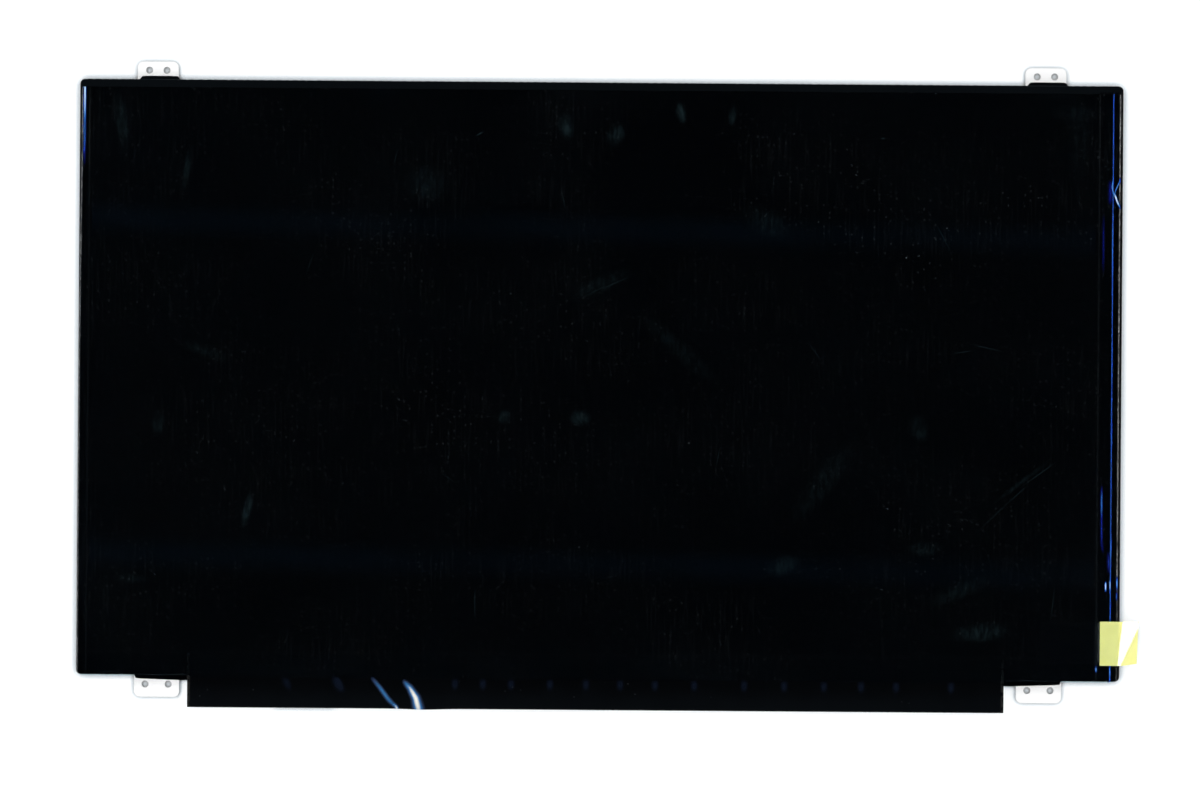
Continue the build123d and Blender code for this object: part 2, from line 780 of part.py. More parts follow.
def bottom_tape(ear, start, end, lip_start, lip_end):
    """Tape round one end of the bottom edge, with its tail folded out on the ear's root."""
    tape = along_x(flipped(front_wrap(-tape_low.bottom, half_h, tape_middle)), lip_start, lip_end)
    tape += along_x(flipped(side_wall(half_h, face_z)), start, end)
    cuts = [start, *ear.gap(), end]
    for low, high in zip(cuts[::2], cuts[1::2]):
        tape += along_x(flipped(rear_wrap(-rear_lip.bottom, half_h)), low, high)
    left, right = ear.gap()
    tape += Outline(left, right, body.bottom, body.bottom + TAPE_T).slab(rim_front, face_z)
    inner = end if ear.x < 0 else start
    outer = left + EAR_RELIEF if ear.x < 0 else right - EAR_RELIEF
    taper = math.copysign(BOTTOM_FLAP_TAPER, ear.x)
    tail = [
        (inner, body.bottom + TAPE_T),
        (outer, body.bottom + TAPE_T),
        (outer - taper, body.bottom - BOTTOM_FLAP_NEAR),
        (inner, body.bottom - BOTTOM_FLAP_FAR),
    ]
    return tape + plan(tail, rim_front, rim_front + TAPE_T)


def edge_tape_bottom_left():
    """Tape round the left end of the bottom edge."""
    end = strip.left - COVER_GAP
    tape = bottom_tape(bottom_ears[0], straight.left, end, straight.left, end)
    tape += corner_lip(Outline(body.left, straight.left, body.bottom, tape_low.bottom), face_z)
    return tape + corner_lip(Outline(body.left, straight.left, body.bottom, rear_lip.bottom), rim_rear - TAPE_T)


def edge_tape_bottom_right():
    """Tape round the right end of the bottom edge, whose lip stops at the wide right tape."""
    start = strip.right + COVER_GAP
    tape = bottom_tape(bottom_ears[1], start, straight.right, start, tape_low.right)
    return tape + corner_lip(Outline(straight.right, body.right, body.bottom, rear_lip.bottom), rim_rear - TAPE_T)


def film_path():
    """Rear face of the protective film: it drapes on the left tape and over the wide right tape."""
    tape_front = face_z + TAPE_T
    raised = polariser_front + TAPE_T
    return [
        (body.left + FILM_INSET, tape_front),
        (polariser.left - FILM_DRAPE, tape_front),
        (polariser.left, polariser_front),
        (right_tape_left - FILM_DRAPE, polariser_front),
        (right_tape_left - TAPE_GAP, raised),
        (polariser.right + TAPE_GAP + TAPE_T, raised),
        (polariser.right + FILM_DRAPE, tape_front),
        (body.right - FILM_INSET, tape_front),
    ]


def protective_film():
    """Clear film over the whole face with rounded corners, overhanging its bottom edge a little."""
    section = sheet_section(film_path(), PROTECT_T)
    edges = Outline(body.left + FILM_INSET, body.right - FILM_INSET, body.bottom - FILM_OVERHANG, polariser.top)
    return along_y(section, edges.bottom, edges.top) & edges.slab(face_z, 2 * polariser_front, CORNER_R)


pull_bottom = body.bottom + PULL_ABOVE_BOTTOM
pull_front = polariser_front + TAPE_T + PROTECT_T + PULL_T


def pull_tape():
    """Clear tape on the protective film that carries the pull tab."""
    film_front = set_off(film_path(), PROTECT_T)
    path = [
        (body.right - PULL_LEFT_INSET, film_front[3][1]),
        film_front[3],
        film_front[4],
        (body.right - PULL_END_INSET, film_front[4][1]),
    ]
    return along_y(sheet_section(path, PULL_T), pull_bottom, pull_bottom + PULL_H)


def pull_tab():
    """Yellow tab on the end of the pull tape, curling down past the panel's edge."""
    start = body.right - TAB_INSET
    bend = start + TAB_FLAT
    turn = TAB_CURL_L / TAB_CURL_R
    centre = (bend, pull_front - TAB_CURL_R)

    def on_curl(radius, angle):
        return centre[0] + radius * math.sin(angle), centre[1] + radius * math.cos(angle)

    outer = TAB_CURL_R + TAB_T
    rear = Line((start, pull_front), (bend, pull_front))
    rear_curl = ThreePointArc(*(on_curl(TAB_CURL_R, turn * share) for share in (0, 0.5, 1)))
    tip = Line(on_curl(TAB_CURL_R, turn), on_curl(outer, turn))
    front_curl = ThreePointArc(*(on_curl(outer, turn * share) for share in (1, 0.5, 0)))
    front = Line((bend, pull_front + TAB_T), (start, pull_front + TAB_T))
    root = Line((start, pull_front + TAB_T), (start, pull_front))
    section = make_face(Curve() + [rear, rear_curl, tip, front_curl, front, root])
    top = pull_bottom - TAB_BELOW_TAPE + TAB_H
    return Pos(0, top, 0) * extrude(Plane.XZ * section, TAB_H)


nodes = {
    "back_plate": back_plate(),
    "mid_frame": mid_frame(),
    "reflector_sheet": guide.slab(reflector_z, guide_z, guide_corner_r),
    "light_guide": guide.slab(guide_z, lower_diffuser_z, guide_corner_r),
    "led_circuit": led_circuit(),
    "leds": leds(),
    "lower_diffuser": optical_sheet(lower_diffuser_z, LOWER_DIFFUSER_T),
    "lower_prism_sheet": optical_sheet(lower_prism_z, PRISM_T),
    "upper_prism_sheet": optical_sheet(upper_prism_z, PRISM_T),
    "upper_diffuser": optical_sheet(upper_diffuser_z, UPPER_DIFFUSER_T),
    "cell_tape": cell_tape(),
    "rear_polariser": active.grown(REAR_POLARISER_MARGIN).slab(array_z - REAR_POLARISER_T, array_z),
    "array_glass": array_glass.slab(array_z, filter_z),
    "colour_filter_glass": filter_glass.slab(filter_z, face_z),
    "front_polariser": polariser.slab(face_z, polariser_front),
    "control_board": control_board(),
    "board_cover_film": board_cover_film(),
    "connector_housing": connector_housing(),
    "connector_shell": connector_shell(),
    "connector_contacts": connector_contacts(),
    "timing_controller": board_chip(controller_x, CONTROLLER_W, CONTROLLER_W, CONTROLLER_H),
    "backlight_driver": board_chip(backlight_x, BACKLIGHT_W, BACKLIGHT_W, BACKLIGHT_H),
    "level_shifter": board_chip(shifter_x, SHIFTER_W, SHIFTER_W, SHIFTER_H),
    "memory_chip": board_chip(memory_x, MEMORY_L, MEMORY_D, MEMORY_H),
    "power_inductor": power_inductor(),
    "board_capacitors": board_capacitors(),
    "board_resistors": board_resistors(),
    "edge_tape_top": edge_tape_top(),
    "edge_tape_left": edge_tape_left(),
    "edge_tape_right": edge_tape_right(),
    "edge_tape_bottom_left": edge_tape_bottom_left(),
    "edge_tape_bottom_right": edge_tape_bottom_right(),
    "protective_film": protective_film(),
    "pull_tape": pull_tape(),
    "pull_tab": pull_tab(),
}
for number, x in enumerate(driver_places(), start=1):
    nodes[f"driver_film_{number}"] = driver_film(x)
    nodes[f"driver_chip_{number}"] = driver_chip(x)

os.makedirs("parts", exist_ok=True)
for name, shape in nodes.items():
    if isinstance(shape, list):
        shape = Compound(children=[Solid(piece.solid().wrapped) for piece in shape])
    export_step(shape, f"parts/{name}.step")
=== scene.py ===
"""Looks of a bare laptop screen panel, lying face up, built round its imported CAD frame.

Sizes in the classes are millimetres in the CAD frame: +X is the right and +Y the top of the picture,
+Z points out of the screen. Meshes are written in metres.
"""

import json
import logging
import math
from dataclasses import dataclass
from enum import Enum
from typing import NamedTuple, Sequence

import bmesh
import bpy
import numpy as np
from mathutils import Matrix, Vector

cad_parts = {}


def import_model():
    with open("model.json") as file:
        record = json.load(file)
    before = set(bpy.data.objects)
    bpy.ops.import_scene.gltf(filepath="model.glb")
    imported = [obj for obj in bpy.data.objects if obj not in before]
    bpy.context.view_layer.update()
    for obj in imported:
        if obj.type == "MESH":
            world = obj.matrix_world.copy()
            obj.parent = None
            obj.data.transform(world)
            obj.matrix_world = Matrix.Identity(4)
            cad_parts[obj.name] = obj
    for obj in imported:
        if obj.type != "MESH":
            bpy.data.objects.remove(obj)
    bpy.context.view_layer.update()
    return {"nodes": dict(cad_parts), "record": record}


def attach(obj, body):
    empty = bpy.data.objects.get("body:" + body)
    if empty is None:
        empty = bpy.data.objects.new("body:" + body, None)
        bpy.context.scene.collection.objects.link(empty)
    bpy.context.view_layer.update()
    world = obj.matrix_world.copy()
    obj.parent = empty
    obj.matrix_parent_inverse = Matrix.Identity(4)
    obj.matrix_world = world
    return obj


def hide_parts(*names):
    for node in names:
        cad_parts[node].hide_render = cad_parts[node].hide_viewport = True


MM = 0.001

log = logging.getLogger("screen_panel")

Socket = bpy.types.NodeSocket
Material = bpy.types.Material
Piece = bpy.types.Object
Colour = tuple[float, float, float]
Span = tuple[float, float]
Point = tuple[float, float]


class Draft:
    """A material's node tree while it is put together, ending in one Principled shader."""

    def __init__(self, name: str) -> None:
        """Makes an empty material of that name with a Principled shader.

        Args:
            name: the material's name.
        """
        self.material = bpy.data.materials.new(name)
        self.material.use_nodes = True
        self.tree = self.material.node_tree
        self.tree.nodes.clear()
        output = self.tree.nodes.new("ShaderNodeOutputMaterial")
        self.shader = self.tree.nodes.new("ShaderNodeBsdfPrincipled")
        self.tree.links.new(self.shader.outputs[0], output.inputs["Surface"])
        place = self.tree.nodes.new("ShaderNodeTexCoord")
        self.place = place.outputs["Object"]

    def feed(self, socket: Socket, value: object) -> None:
        """Links a socket to another, or sets its value.

        Args:
            socket: the input to feed.
            value: an output socket, a number, a colour or a vector.
        """
        if isinstance(value, Socket):
            self.tree.links.new(value, socket)
        elif socket.type == "RGBA" and len(value) == 3:
            socket.default_value = (*value, 1.0)
        else:
            socket.default_value = value

    def set(self, **values: object) -> None:
        """Feeds the shader's inputs.

        Args:
            values: what to feed, by the input's name in lower case with underscores.
        """
        for key, value in values.items():
            found = [s for s in self.shader.inputs if s.name.lower().replace(" ", "_") == key]
            self.feed(found[0], value)

    def spread(self, scale: Sequence[float], turn: float = 0.0) -> Socket:
        """Object coordinates turned about Z and scaled.

        Args:
            scale: repeats per metre along X, Y and Z.
            turn: the pattern's turn, in degrees.

        Returns:
            The vector socket.
        """
        node = self.tree.nodes.new("ShaderNodeMapping")
        node.vector_type = "TEXTURE"
        self.feed(node.inputs["Vector"], self.place)
        node.inputs["Rotation"].default_value = (0.0, 0.0, math.radians(turn))
        node.inputs["Scale"].default_value = [1.0 / s for s in scale]
        return node.outputs["Vector"]

    def noise(
        self, where: Socket, detail: float = 2.0, rough: float = 0.5, flat: bool = False
    ) -> Socket:
        """Soft noise with features of about one unit.

        Args:
            where: the vector socket to read.
            detail: octaves of finer noise.
            rough: weight of the finer octaves.
            flat: whether only X and Y count.

        Returns:
            The grey socket, about 0.3 to 0.7.
        """
        node = self.tree.nodes.new("ShaderNodeTexNoise")
        node.noise_dimensions = "2D" if flat else "3D"
        self.feed(node.inputs["Vector"], where)
        node.inputs["Scale"].default_value = 1.0
        node.inputs["Detail"].default_value = detail
        node.inputs["Roughness"].default_value = rough
        return node.outputs["Fac"]

    def cells(
        self, where: Socket, edges: bool = False, flat: bool = False
    ) -> tuple[Socket, Socket]:
        """Scattered cells, one in each unit.

        Args:
            where: the vector socket to read.
            edges: whether the distance is to the cell's edge and not to its middle.
            flat: whether only X and Y count.

        Returns:
            The distance socket, and a colour that is one random value in each cell.
        """
        node = self.tree.nodes.new("ShaderNodeTexVoronoi")
        node.voronoi_dimensions = "2D" if flat else "3D"
        node.feature = "DISTANCE_TO_EDGE" if edges else "F1"
        self.feed(node.inputs["Vector"], where)
        node.inputs["Scale"].default_value = 1.0
        return node.outputs["Distance"], node.outputs["Color"] if not edges else node.outputs["Distance"]

    def fit(self, value: Socket, source: Span, target: Span = (0.0, 1.0)) -> Socket:
        """Maps one range smoothly on another, held at its ends.

        Args:
            value: the grey socket.
            source: the range it is read from; it may run downwards.
            target: the range it becomes.

        Returns:
            The mapped socket.
        """
        low, high = source
        node = self.tree.nodes.new("ShaderNodeMapRange")
        node.interpolation_type = "SMOOTHSTEP"
        self.feed(node.inputs["Value"], value)
        if low > high:
            low, high, target = high, low, target[::-1]
        node.inputs["From Min"].default_value = low
        node.inputs["From Max"].default_value = high
        node.inputs["To Min"].default_value = target[0]
        node.inputs["To Max"].default_value = target[1]
        return node.outputs["Result"]

    def sums(self, kind: str, a: object, b: object = 0.0) -> Socket:
        """One Math node.

        Args:
            kind: the operation, as Blender names it.
            a: the first number or socket.
            b: the second number or socket.

        Returns:
            The result socket.
        """
        node = self.tree.nodes.new("ShaderNodeMath")
        node.operation = kind
        self.feed(node.inputs[0], a)
        self.feed(node.inputs[1], b)
        return node.outputs[0]

    def total(self, *terms: object) -> Socket:
        """Adds several numbers or sockets.

        Args:
            terms: what is added, at least one.

        Returns:
            The sum's socket.
        """
        result = terms[0]
        for term in terms[1:]:
            result = self.sums("ADD", result, term)
        return result

    def part(self, where: Socket, axis: str) -> Socket:
        """One coordinate of a vector.

        Args:
            where: the vector socket.
            axis: the coordinate's letter.

        Returns:
            The number socket.
        """
        node = self.tree.nodes.new("ShaderNodeSeparateXYZ")
        self.feed(node.inputs[0], where)
        return node.outputs[axis]

    def attribute(self, name: str) -> Socket:
        """A number that the mesh carries at its points.

        Args:
            name: the attribute's name.

        Returns:
            The number socket.
        """
        node = self.tree.nodes.new("ShaderNodeAttribute")
        node.attribute_name = name
        return node.outputs["Fac"]

    def tint(self, share: object, first: object, second: object) -> Socket:
        """Mixes two colours.

        Args:
            share: how much of the second colour shows.
            first: a colour or socket.
            second: a colour or socket.

        Returns:
            The colour socket.
        """
        node = self.tree.nodes.new("ShaderNodeMix")
        node.data_type = "RGBA"
        self.feed(node.inputs[0], share)
        self.feed(node.inputs[6], first)
        self.feed(node.inputs[7], second)
        return node.outputs[2]

    def emboss(self, height: Socket, depth: float, strength: float = 1.0) -> None:
        """Shades the surface as if a height stood on it.

        Args:
            height: the height from 0 to 1.
            depth: what 1 stands for, in metres.
            strength: how strongly it shows.
        """
        node = self.tree.nodes.new("ShaderNodeBump")
        node.inputs["Strength"].default_value = strength
        node.inputs["Distance"].default_value = depth
        self.feed(node.inputs["Height"], height)
        self.set(normal=node.outputs["Normal"])


@dataclass(frozen=True)
class PaintedFoldHighlight:
    """Painted highlight along a fold in a film, standing in for lamp light caught by the fold: violet where it is
    slight, then blue, then white.
    """

    slight: Colour = (0.05, 0.09, 1.0)
    sharp: Colour = (0.09, 0.41, 1.0)
    creased: Colour = (0.8, 0.92, 1.0)

    def over(self, d: Draft, tone: Socket, fold: Socket) -> Socket:
        """Lays the painted fold highlight over another colour.

        Args:
            d: the material's tree.
            tone: the colour elsewhere.
            fold: strength of the painted highlight, from 0 to 1.

        Returns:
            The colour socket.
        """
        lit = d.tint(d.fit(fold, (0.08, 0.15)), self.slight, self.sharp)
        lit = d.tint(d.fit(fold, (0.26, 0.7)), lit, self.creased)
        return d.tint(d.fit(fold, (0.0005, 0.006)), tone, lit)


@dataclass(frozen=True)
class SheetMetal:
    """Rolled sheet metal: a fine grain along the sheet, a dull bloom and a few hairline scratches."""

    name: str
    colour: Colour
    metallic: float
    rough: float

    def make(self) -> Material:
        """Builds the finish.

        Returns:
            The material.
        """
        d = Draft(self.name)
        grain = d.noise(d.spread((40, 5000, 5000)), 3.0)
        bloom = d.noise(d.spread((35, 35, 35)), 4.0, 0.6)
        gap, _ = d.cells(d.spread((14, 120, 120), turn=17), edges=True)
        worn = d.sums("MULTIPLY", d.fit(gap, (0.012, 0.0)), d.fit(bloom, (0.5, 0.62)))
        dark = tuple(0.93 * c for c in self.colour)
        tone = d.tint(d.fit(bloom, (0.32, 0.68)), dark, self.colour)
        tone = d.tint(d.fit(grain, (0.3, 0.7), (0.0, 0.15)), tone, tuple(0.8 * c for c in self.colour))
        rough = d.total(self.rough, d.fit(bloom, (0.3, 0.7), (0.06, -0.06)), d.sums("MULTIPLY", worn, -0.15))
        d.set(base_color=tone, metallic=self.metallic, roughness=rough)
        d.emboss(d.total(d.sums("MULTIPLY", grain, 0.6), d.sums("MULTIPLY", worn, -0.5)), 6e-6, 0.5)
        return d.material


@dataclass(frozen=True)
class PlatedMetal:
    """Thin bright plating on small stamped metal, slightly uneven in tone."""

    name: str
    colour: Colour
    rough: float

    def make(self) -> Material:
        """Builds the finish.

        Returns:
            The material.
        """
        d = Draft(self.name)
        cloud = d.noise(d.spread((900, 900, 900)), 3.0)
        streak = d.noise(d.spread((300, 6000, 6000)), 2.0)
        tone = d.tint(d.fit(cloud, (0.3, 0.7)), tuple(0.8 * c for c in self.colour), self.colour)
        rough = d.fit(streak, (0.3, 0.7), (self.rough - 0.05, self.rough + 0.1))
        d.set(base_color=tone, metallic=1.0, roughness=rough)
        d.emboss(streak, 3e-6, 0.4)
        return d.material


@dataclass(frozen=True)
class MouldedPlastic:
    """Moulded plastic with a fine spark-eroded grain and a faint flow cloud."""

    name: str
    colour: Colour
    rough: float
    grain: float = 4500.0

    def make(self) -> Material:
        """Builds the finish.

        Returns:
            The material.
        """
        d = Draft(self.name)
        grain = d.noise(d.spread((self.grain,) * 3), 2.0)
        cloud = d.noise(d.spread((60, 60, 60)), 3.0)
        tone = d.tint(d.fit(cloud, (0.3, 0.7)), tuple(0.9 * c for c in self.colour), self.colour)
        d.set(base_color=tone, roughness=d.fit(grain, (0.3, 0.7), (self.rough - 0.05, self.rough + 0.08)))
        d.emboss(grain, 8e-6, 0.5)
        return d.material


@dataclass(frozen=True)
class OpticalSheet:
    """Glass, guide or diffusing sheet: even, with a very faint cloud, and clear by a given share."""

    name: str
    colour: Colour
    rough: float
    clear: float

    def make(self) -> Material:
        """Builds the finish.

        Returns:
            The material.
        """
        d = Draft(self.name)
        cloud = d.noise(d.spread((45, 45, 45)), 3.0)
        fine = d.noise(d.spread((3000, 3000, 3000)), 2.0)
        tone = d.tint(d.fit(cloud, (0.3, 0.7)), tuple(0.94 * c for c in self.colour), self.colour)
        d.set(base_color=tone, roughness=d.fit(fine, (0.3, 0.7), (self.rough, self.rough + 0.05)))
        d.set(transmission_weight=self.clear, ior=1.5)
        d.emboss(fine, 2e-6, 0.2)
        return d.material


@dataclass(frozen=True)
class GreenMask:
    """Solder mask over copper: lighter runs where tracks lie, small plated holes with painted shade in their middles,
    slight gloss.
    """

    name: str
    mask: Colour
    track: Colour
    plating: Colour

    def make(self) -> Material:
        """Builds the finish.

        Returns:
            The material.
        """
        d = Draft(self.name)
        runs = d.tree.nodes.new("ShaderNodeTexBrick")
        d.feed(runs.inputs["Vector"], d.spread((260, 1100, 260)))
        shape = {"Scale": 1.0, "Mortar Size": 0.16, "Mortar Smooth": 0.2, "Brick Width": 2.6, "Row Height": 0.7}
        for key, value in shape.items():
            runs.inputs[key].default_value = value
        routed = d.noise(d.spread((90, 160, 90)), 1.0)
        tracks = d.sums("MULTIPLY", runs.outputs["Fac"], d.fit(routed, (0.44, 0.5)))
        hole, chance = d.cells(d.spread((420, 420, 0.001)))
        picked = d.fit(d.part(chance, "X"), (0.62, 0.66))
        plated = d.sums("MULTIPLY", d.fit(hole, (0.2, 0.16)), picked)
        bore_painted_dark = d.sums("MULTIPLY", d.fit(hole, (0.1, 0.07)), picked)
        cloud = d.noise(d.spread((70, 70, 70)), 3.0)
        tone = d.tint(d.fit(cloud, (0.3, 0.7)), tuple(0.75 * c for c in self.mask), self.mask)
        tone = d.tint(tracks, tone, self.track)
        tone = d.tint(plated, tone, self.plating)
        # Painted shade: the middle of each plated hole is near-black, standing in for the shade down the hole.
        tone = d.tint(bore_painted_dark, tone, (0.01, 0.01, 0.01))
        d.set(base_color=tone, roughness=d.fit(cloud, (0.3, 0.7), (0.3, 0.42)))
        d.set(metallic=d.sums("SUBTRACT", plated, bore_painted_dark))
        d.emboss(d.total(tracks, plated, d.sums("MULTIPLY", bore_painted_dark, -2.0)), 2.5e-5, 0.6)
        return d.material


@dataclass(frozen=True)
class AmberFilm:
    """Amber circuit film with fine copper lines running from the glass to the board."""

    name: str
    film: Colour
    line: Colour
    pitch: float = 0.5

    def make(self) -> Material:
        """Builds the finish.

        Returns:
            The material.
        """
        d = Draft(self.name)
        lines = d.tree.nodes.new("ShaderNodeTexWave")
        lines.bands_direction = "X"
        d.feed(lines.inputs["Vector"], d.spread((1000 / self.pitch, 1.0, 1.0)))
        lines.inputs["Scale"].default_value = 0.314
        cloud = d.noise(d.spread((120, 120, 120)), 2.0)
        mask = d.fit(lines.outputs["Fac"], (0.5, 0.7))
        tone = d.tint(d.fit(cloud, (0.3, 0.7)), tuple(0.8 * c for c in self.film), self.film)
        d.set(base_color=d.tint(mask, tone, self.line), roughness=d.fit(cloud, (0.3, 0.7), (0.24, 0.36)))
        d.set(metallic=d.sums("MULTIPLY", mask, 0.5))
        d.emboss(mask, 1e-5, 0.5)
        return d.material


@dataclass(frozen=True)
class MouldedChip:
    """Black moulding compound, or a like body, with a fine speckle and a dull face."""

    name: str
    colour: Colour
    speck: Colour
    rough: float = 0.55

    def make(self) -> Material:
        """Builds the finish.

        Returns:
            The material.
        """
        d = Draft(self.name)
        fine = d.noise(d.spread((6000, 6000, 6000)), 2.0, 0.6)
        cloud = d.noise(d.spread((400, 400, 400)), 2.0)
        d.set(base_color=d.tint(d.fit(fine, (0.52, 0.7)), self.colour, self.speck))
        d.set(roughness=d.fit(cloud, (0.3, 0.7), (self.rough - 0.1, self.rough + 0.1)))
        d.emboss(fine, 1.2e-5, 0.6)
        return d.material


@dataclass(frozen=True)
class BlackTape:
    """Black adhesive tape or film: satin, faintly pebbled, dusty, and grey where its folds are rubbed, with painted
    highlights on buckles and, on the cover film, a painted sheen.
    """

    name: str
    colour: Colour
    rough: float
    rubbed: Colour = (0.075, 0.072, 0.066)
    lighter_and_sheen_tint: Colour = (0.16, 0.22, 0.27)
    gloss: Colour = (0.45, 0.72, 1.0)
    shine: float = 0.5
    # Colours of the painted highlights on buckles.
    folds: PaintedFoldHighlight = PaintedFoldHighlight(slight=(0.24, 0.42, 1.0), creased=(0.84, 0.82, 0.78))

    def make(self) -> Material:
        """Builds the finish.

        The mesh attribute "wear" says where it is rubbed, "bloom" where it is lighter all over (on the cover film, a
        painted sheen towards its bent bottom edge), and "fold" where a painted highlight lies on a buckle.

        Returns:
            The material.
        """
        d = Draft(self.name)
        pebble = d.noise(d.spread((2600, 2600, 2600)), 2.0)
        cloud = d.noise(d.spread((110, 110, 110)), 4.0, 0.6)
        speck, chance = d.cells(d.spread((380, 380, 380)))
        dust = d.sums("MULTIPLY", d.fit(speck, (0.12, 0.05)), d.fit(d.part(chance, "X"), (0.7, 1.0)))
        chips = d.noise(d.spread((900, 900, 900)), 3.0)
        wear = d.sums("MULTIPLY", d.attribute("wear"), d.fit(chips, (0.36, 0.56)))
        dark, light = (tuple(share * c for c in self.colour) for share in (0.85, 1.1))
        tone = d.tint(d.fit(cloud, (0.3, 0.7)), dark, light)
        tone = d.tint(d.sums("MULTIPLY", dust, 0.05), tone, (0.2, 0.22, 0.24))
        tone = d.tint(wear, tone, self.rubbed)
        # Painted sheen on the cover film towards its bent bottom edge; on the tapes an even lighter tone.
        tone = d.tint(d.attribute("bloom"), tone, self.lighter_and_sheen_tint)
        # Painted highlight along buckles, blue to white.
        fold = d.attribute("fold")
        tone = d.tint(fold, tone, self.folds.over(d, self.colour, fold))
        d.set(base_color=tone, roughness=d.fit(cloud, (0.3, 0.7), (self.rough - 0.01, self.rough + 0.02)))
        d.set(specular_tint=(*self.gloss, 1.0), specular_ior_level=self.shine)
        d.emboss(pebble, 4e-6, 0.25)
        return d.material


@dataclass(frozen=True)
class Mark:
    """A smudge or hairline on the protective film: an ellipse on the face, in millimetres and degrees."""

    at: Point
    reach: Point
    turn: float
    haze: float


SMUDGES: tuple[Mark, ...] = (
    Mark((-165.3, 88.0), (2.4, 9.0), 8, 0.0042),
    Mark((-142.8, 72.0), (1.3, 7.5), -8, 0.0045),
    Mark((-12.3, 87.5), (2.6, 4.6), 10, 0.0075),
    Mark((27.3, 92.3), (1.9, 3.6), 12, 0.0085),
    Mark((4.9, 84.5), (3.0, 4.2), -40, 0.0055),
    Mark((45.2, 91.7), (1.6, 3.6), -12, 0.0055),
    Mark((-60.0, 67.0), (8.0, 7.0), 0, 0.0022),
    Mark((57.0, 55.0), (10.0, 5.0), -30, 0.002),
    Mark((0.0, 33.0), (11.0, 3.0), 24, 0.0024),
    Mark((27.0, 11.0), (19.0, 3.4), -42, 0.0016),
    Mark((-6.7, -13.1), (3.6, 2.8), 0, 0.0065),
    Mark((-32.9, -12.9), (3.0, 2.4), 0, 0.004),
    Mark((-152.0, -16.0), (2.4, 4.0), 0, 0.0035),
    Mark((-136.0, 9.0), (9.0, 2.6), -20, 0.002),
    Mark((-121.2, -45.6), (1.7, 6.0), -14, 0.006),
    Mark((131.7, -86.1), (10.0, 3.4), 6, 0.005),
    Mark((112.4, -57.3), (6.0, 2.6), 3, 0.0036),
    Mark((124.0, -72.0), (12.0, 3.0), 22, 0.0024),
    Mark((145.6, -34.0), (12.0, 0.9), 38, 0.0036),
    Mark((110.0, -16.0), (3.2, 5.0), 20, 0.0032),
    Mark((63.9, -63.5), (6.0, 3.4), 20, 0.0034),
    Mark((77.0, -35.0), (18.0, 4.6), 52, 0.0019),
    Mark((164.5, 84.0), (4.4, 14.0), 0, 0.0013),
    Mark((163.0, 93.0), (9.0, 2.8), 0, 0.0019),
    Mark((-161.0, -69.5), (5.5, 1.8), 0, 0.003),
)

HAIRLINES: tuple[Mark, ...] = (
    Mark((133.3, 12.1), (5.5, 0.1), -12, 0.011),
    Mark((125.0, 10.6), (3.2, 0.1), 9, 0.011),
    Mark((74.1, 10.3), (4.0, 0.09), -55, 0.008),
    Mark((5.0, 33.5), (5.5, 0.1), 24, 0.01),
    Mark((-2.0, 30.6), (4.5, 0.09), 28, 0.008),
    Mark((152.0, -31.0), (7.5, 0.1), 36, 0.011),
    Mark((144.0, -38.5), (5.0, 0.1), 42, 0.009),
    Mark((137.0, -45.0), (10.0, 0.1), 44, 0.006),
    Mark((-100.0, 40.0), (4.0, 0.09), 70, 0.007),
    Mark((-52.0, -34.0), (3.4, 0.1), -35, 0.007),
    Mark((41.0, -26.0), (3.0, 0.1), 80, 0.007),
    Mark((118.0, 50.0), (6.0, 0.1), -62, 0.007),
    Mark((-42.5, -77.0), (0.1, 5.0), 0, 0.009),
    Mark((156.6, -76.0), (0.1, 6.0), -6, 0.009),
    Mark((-13.0, 62.0), (0.1, 4.0), 12, 0.006),
    Mark((-71.0, 76.0), (0.1, 3.4), -14, 0.008),
    Mark((-42.0, 84.6), (1.4, 0.2), 30, 0.012),
    Mark((97.0, 84.0), (0.9, 0.25), 0, 0.011),
)


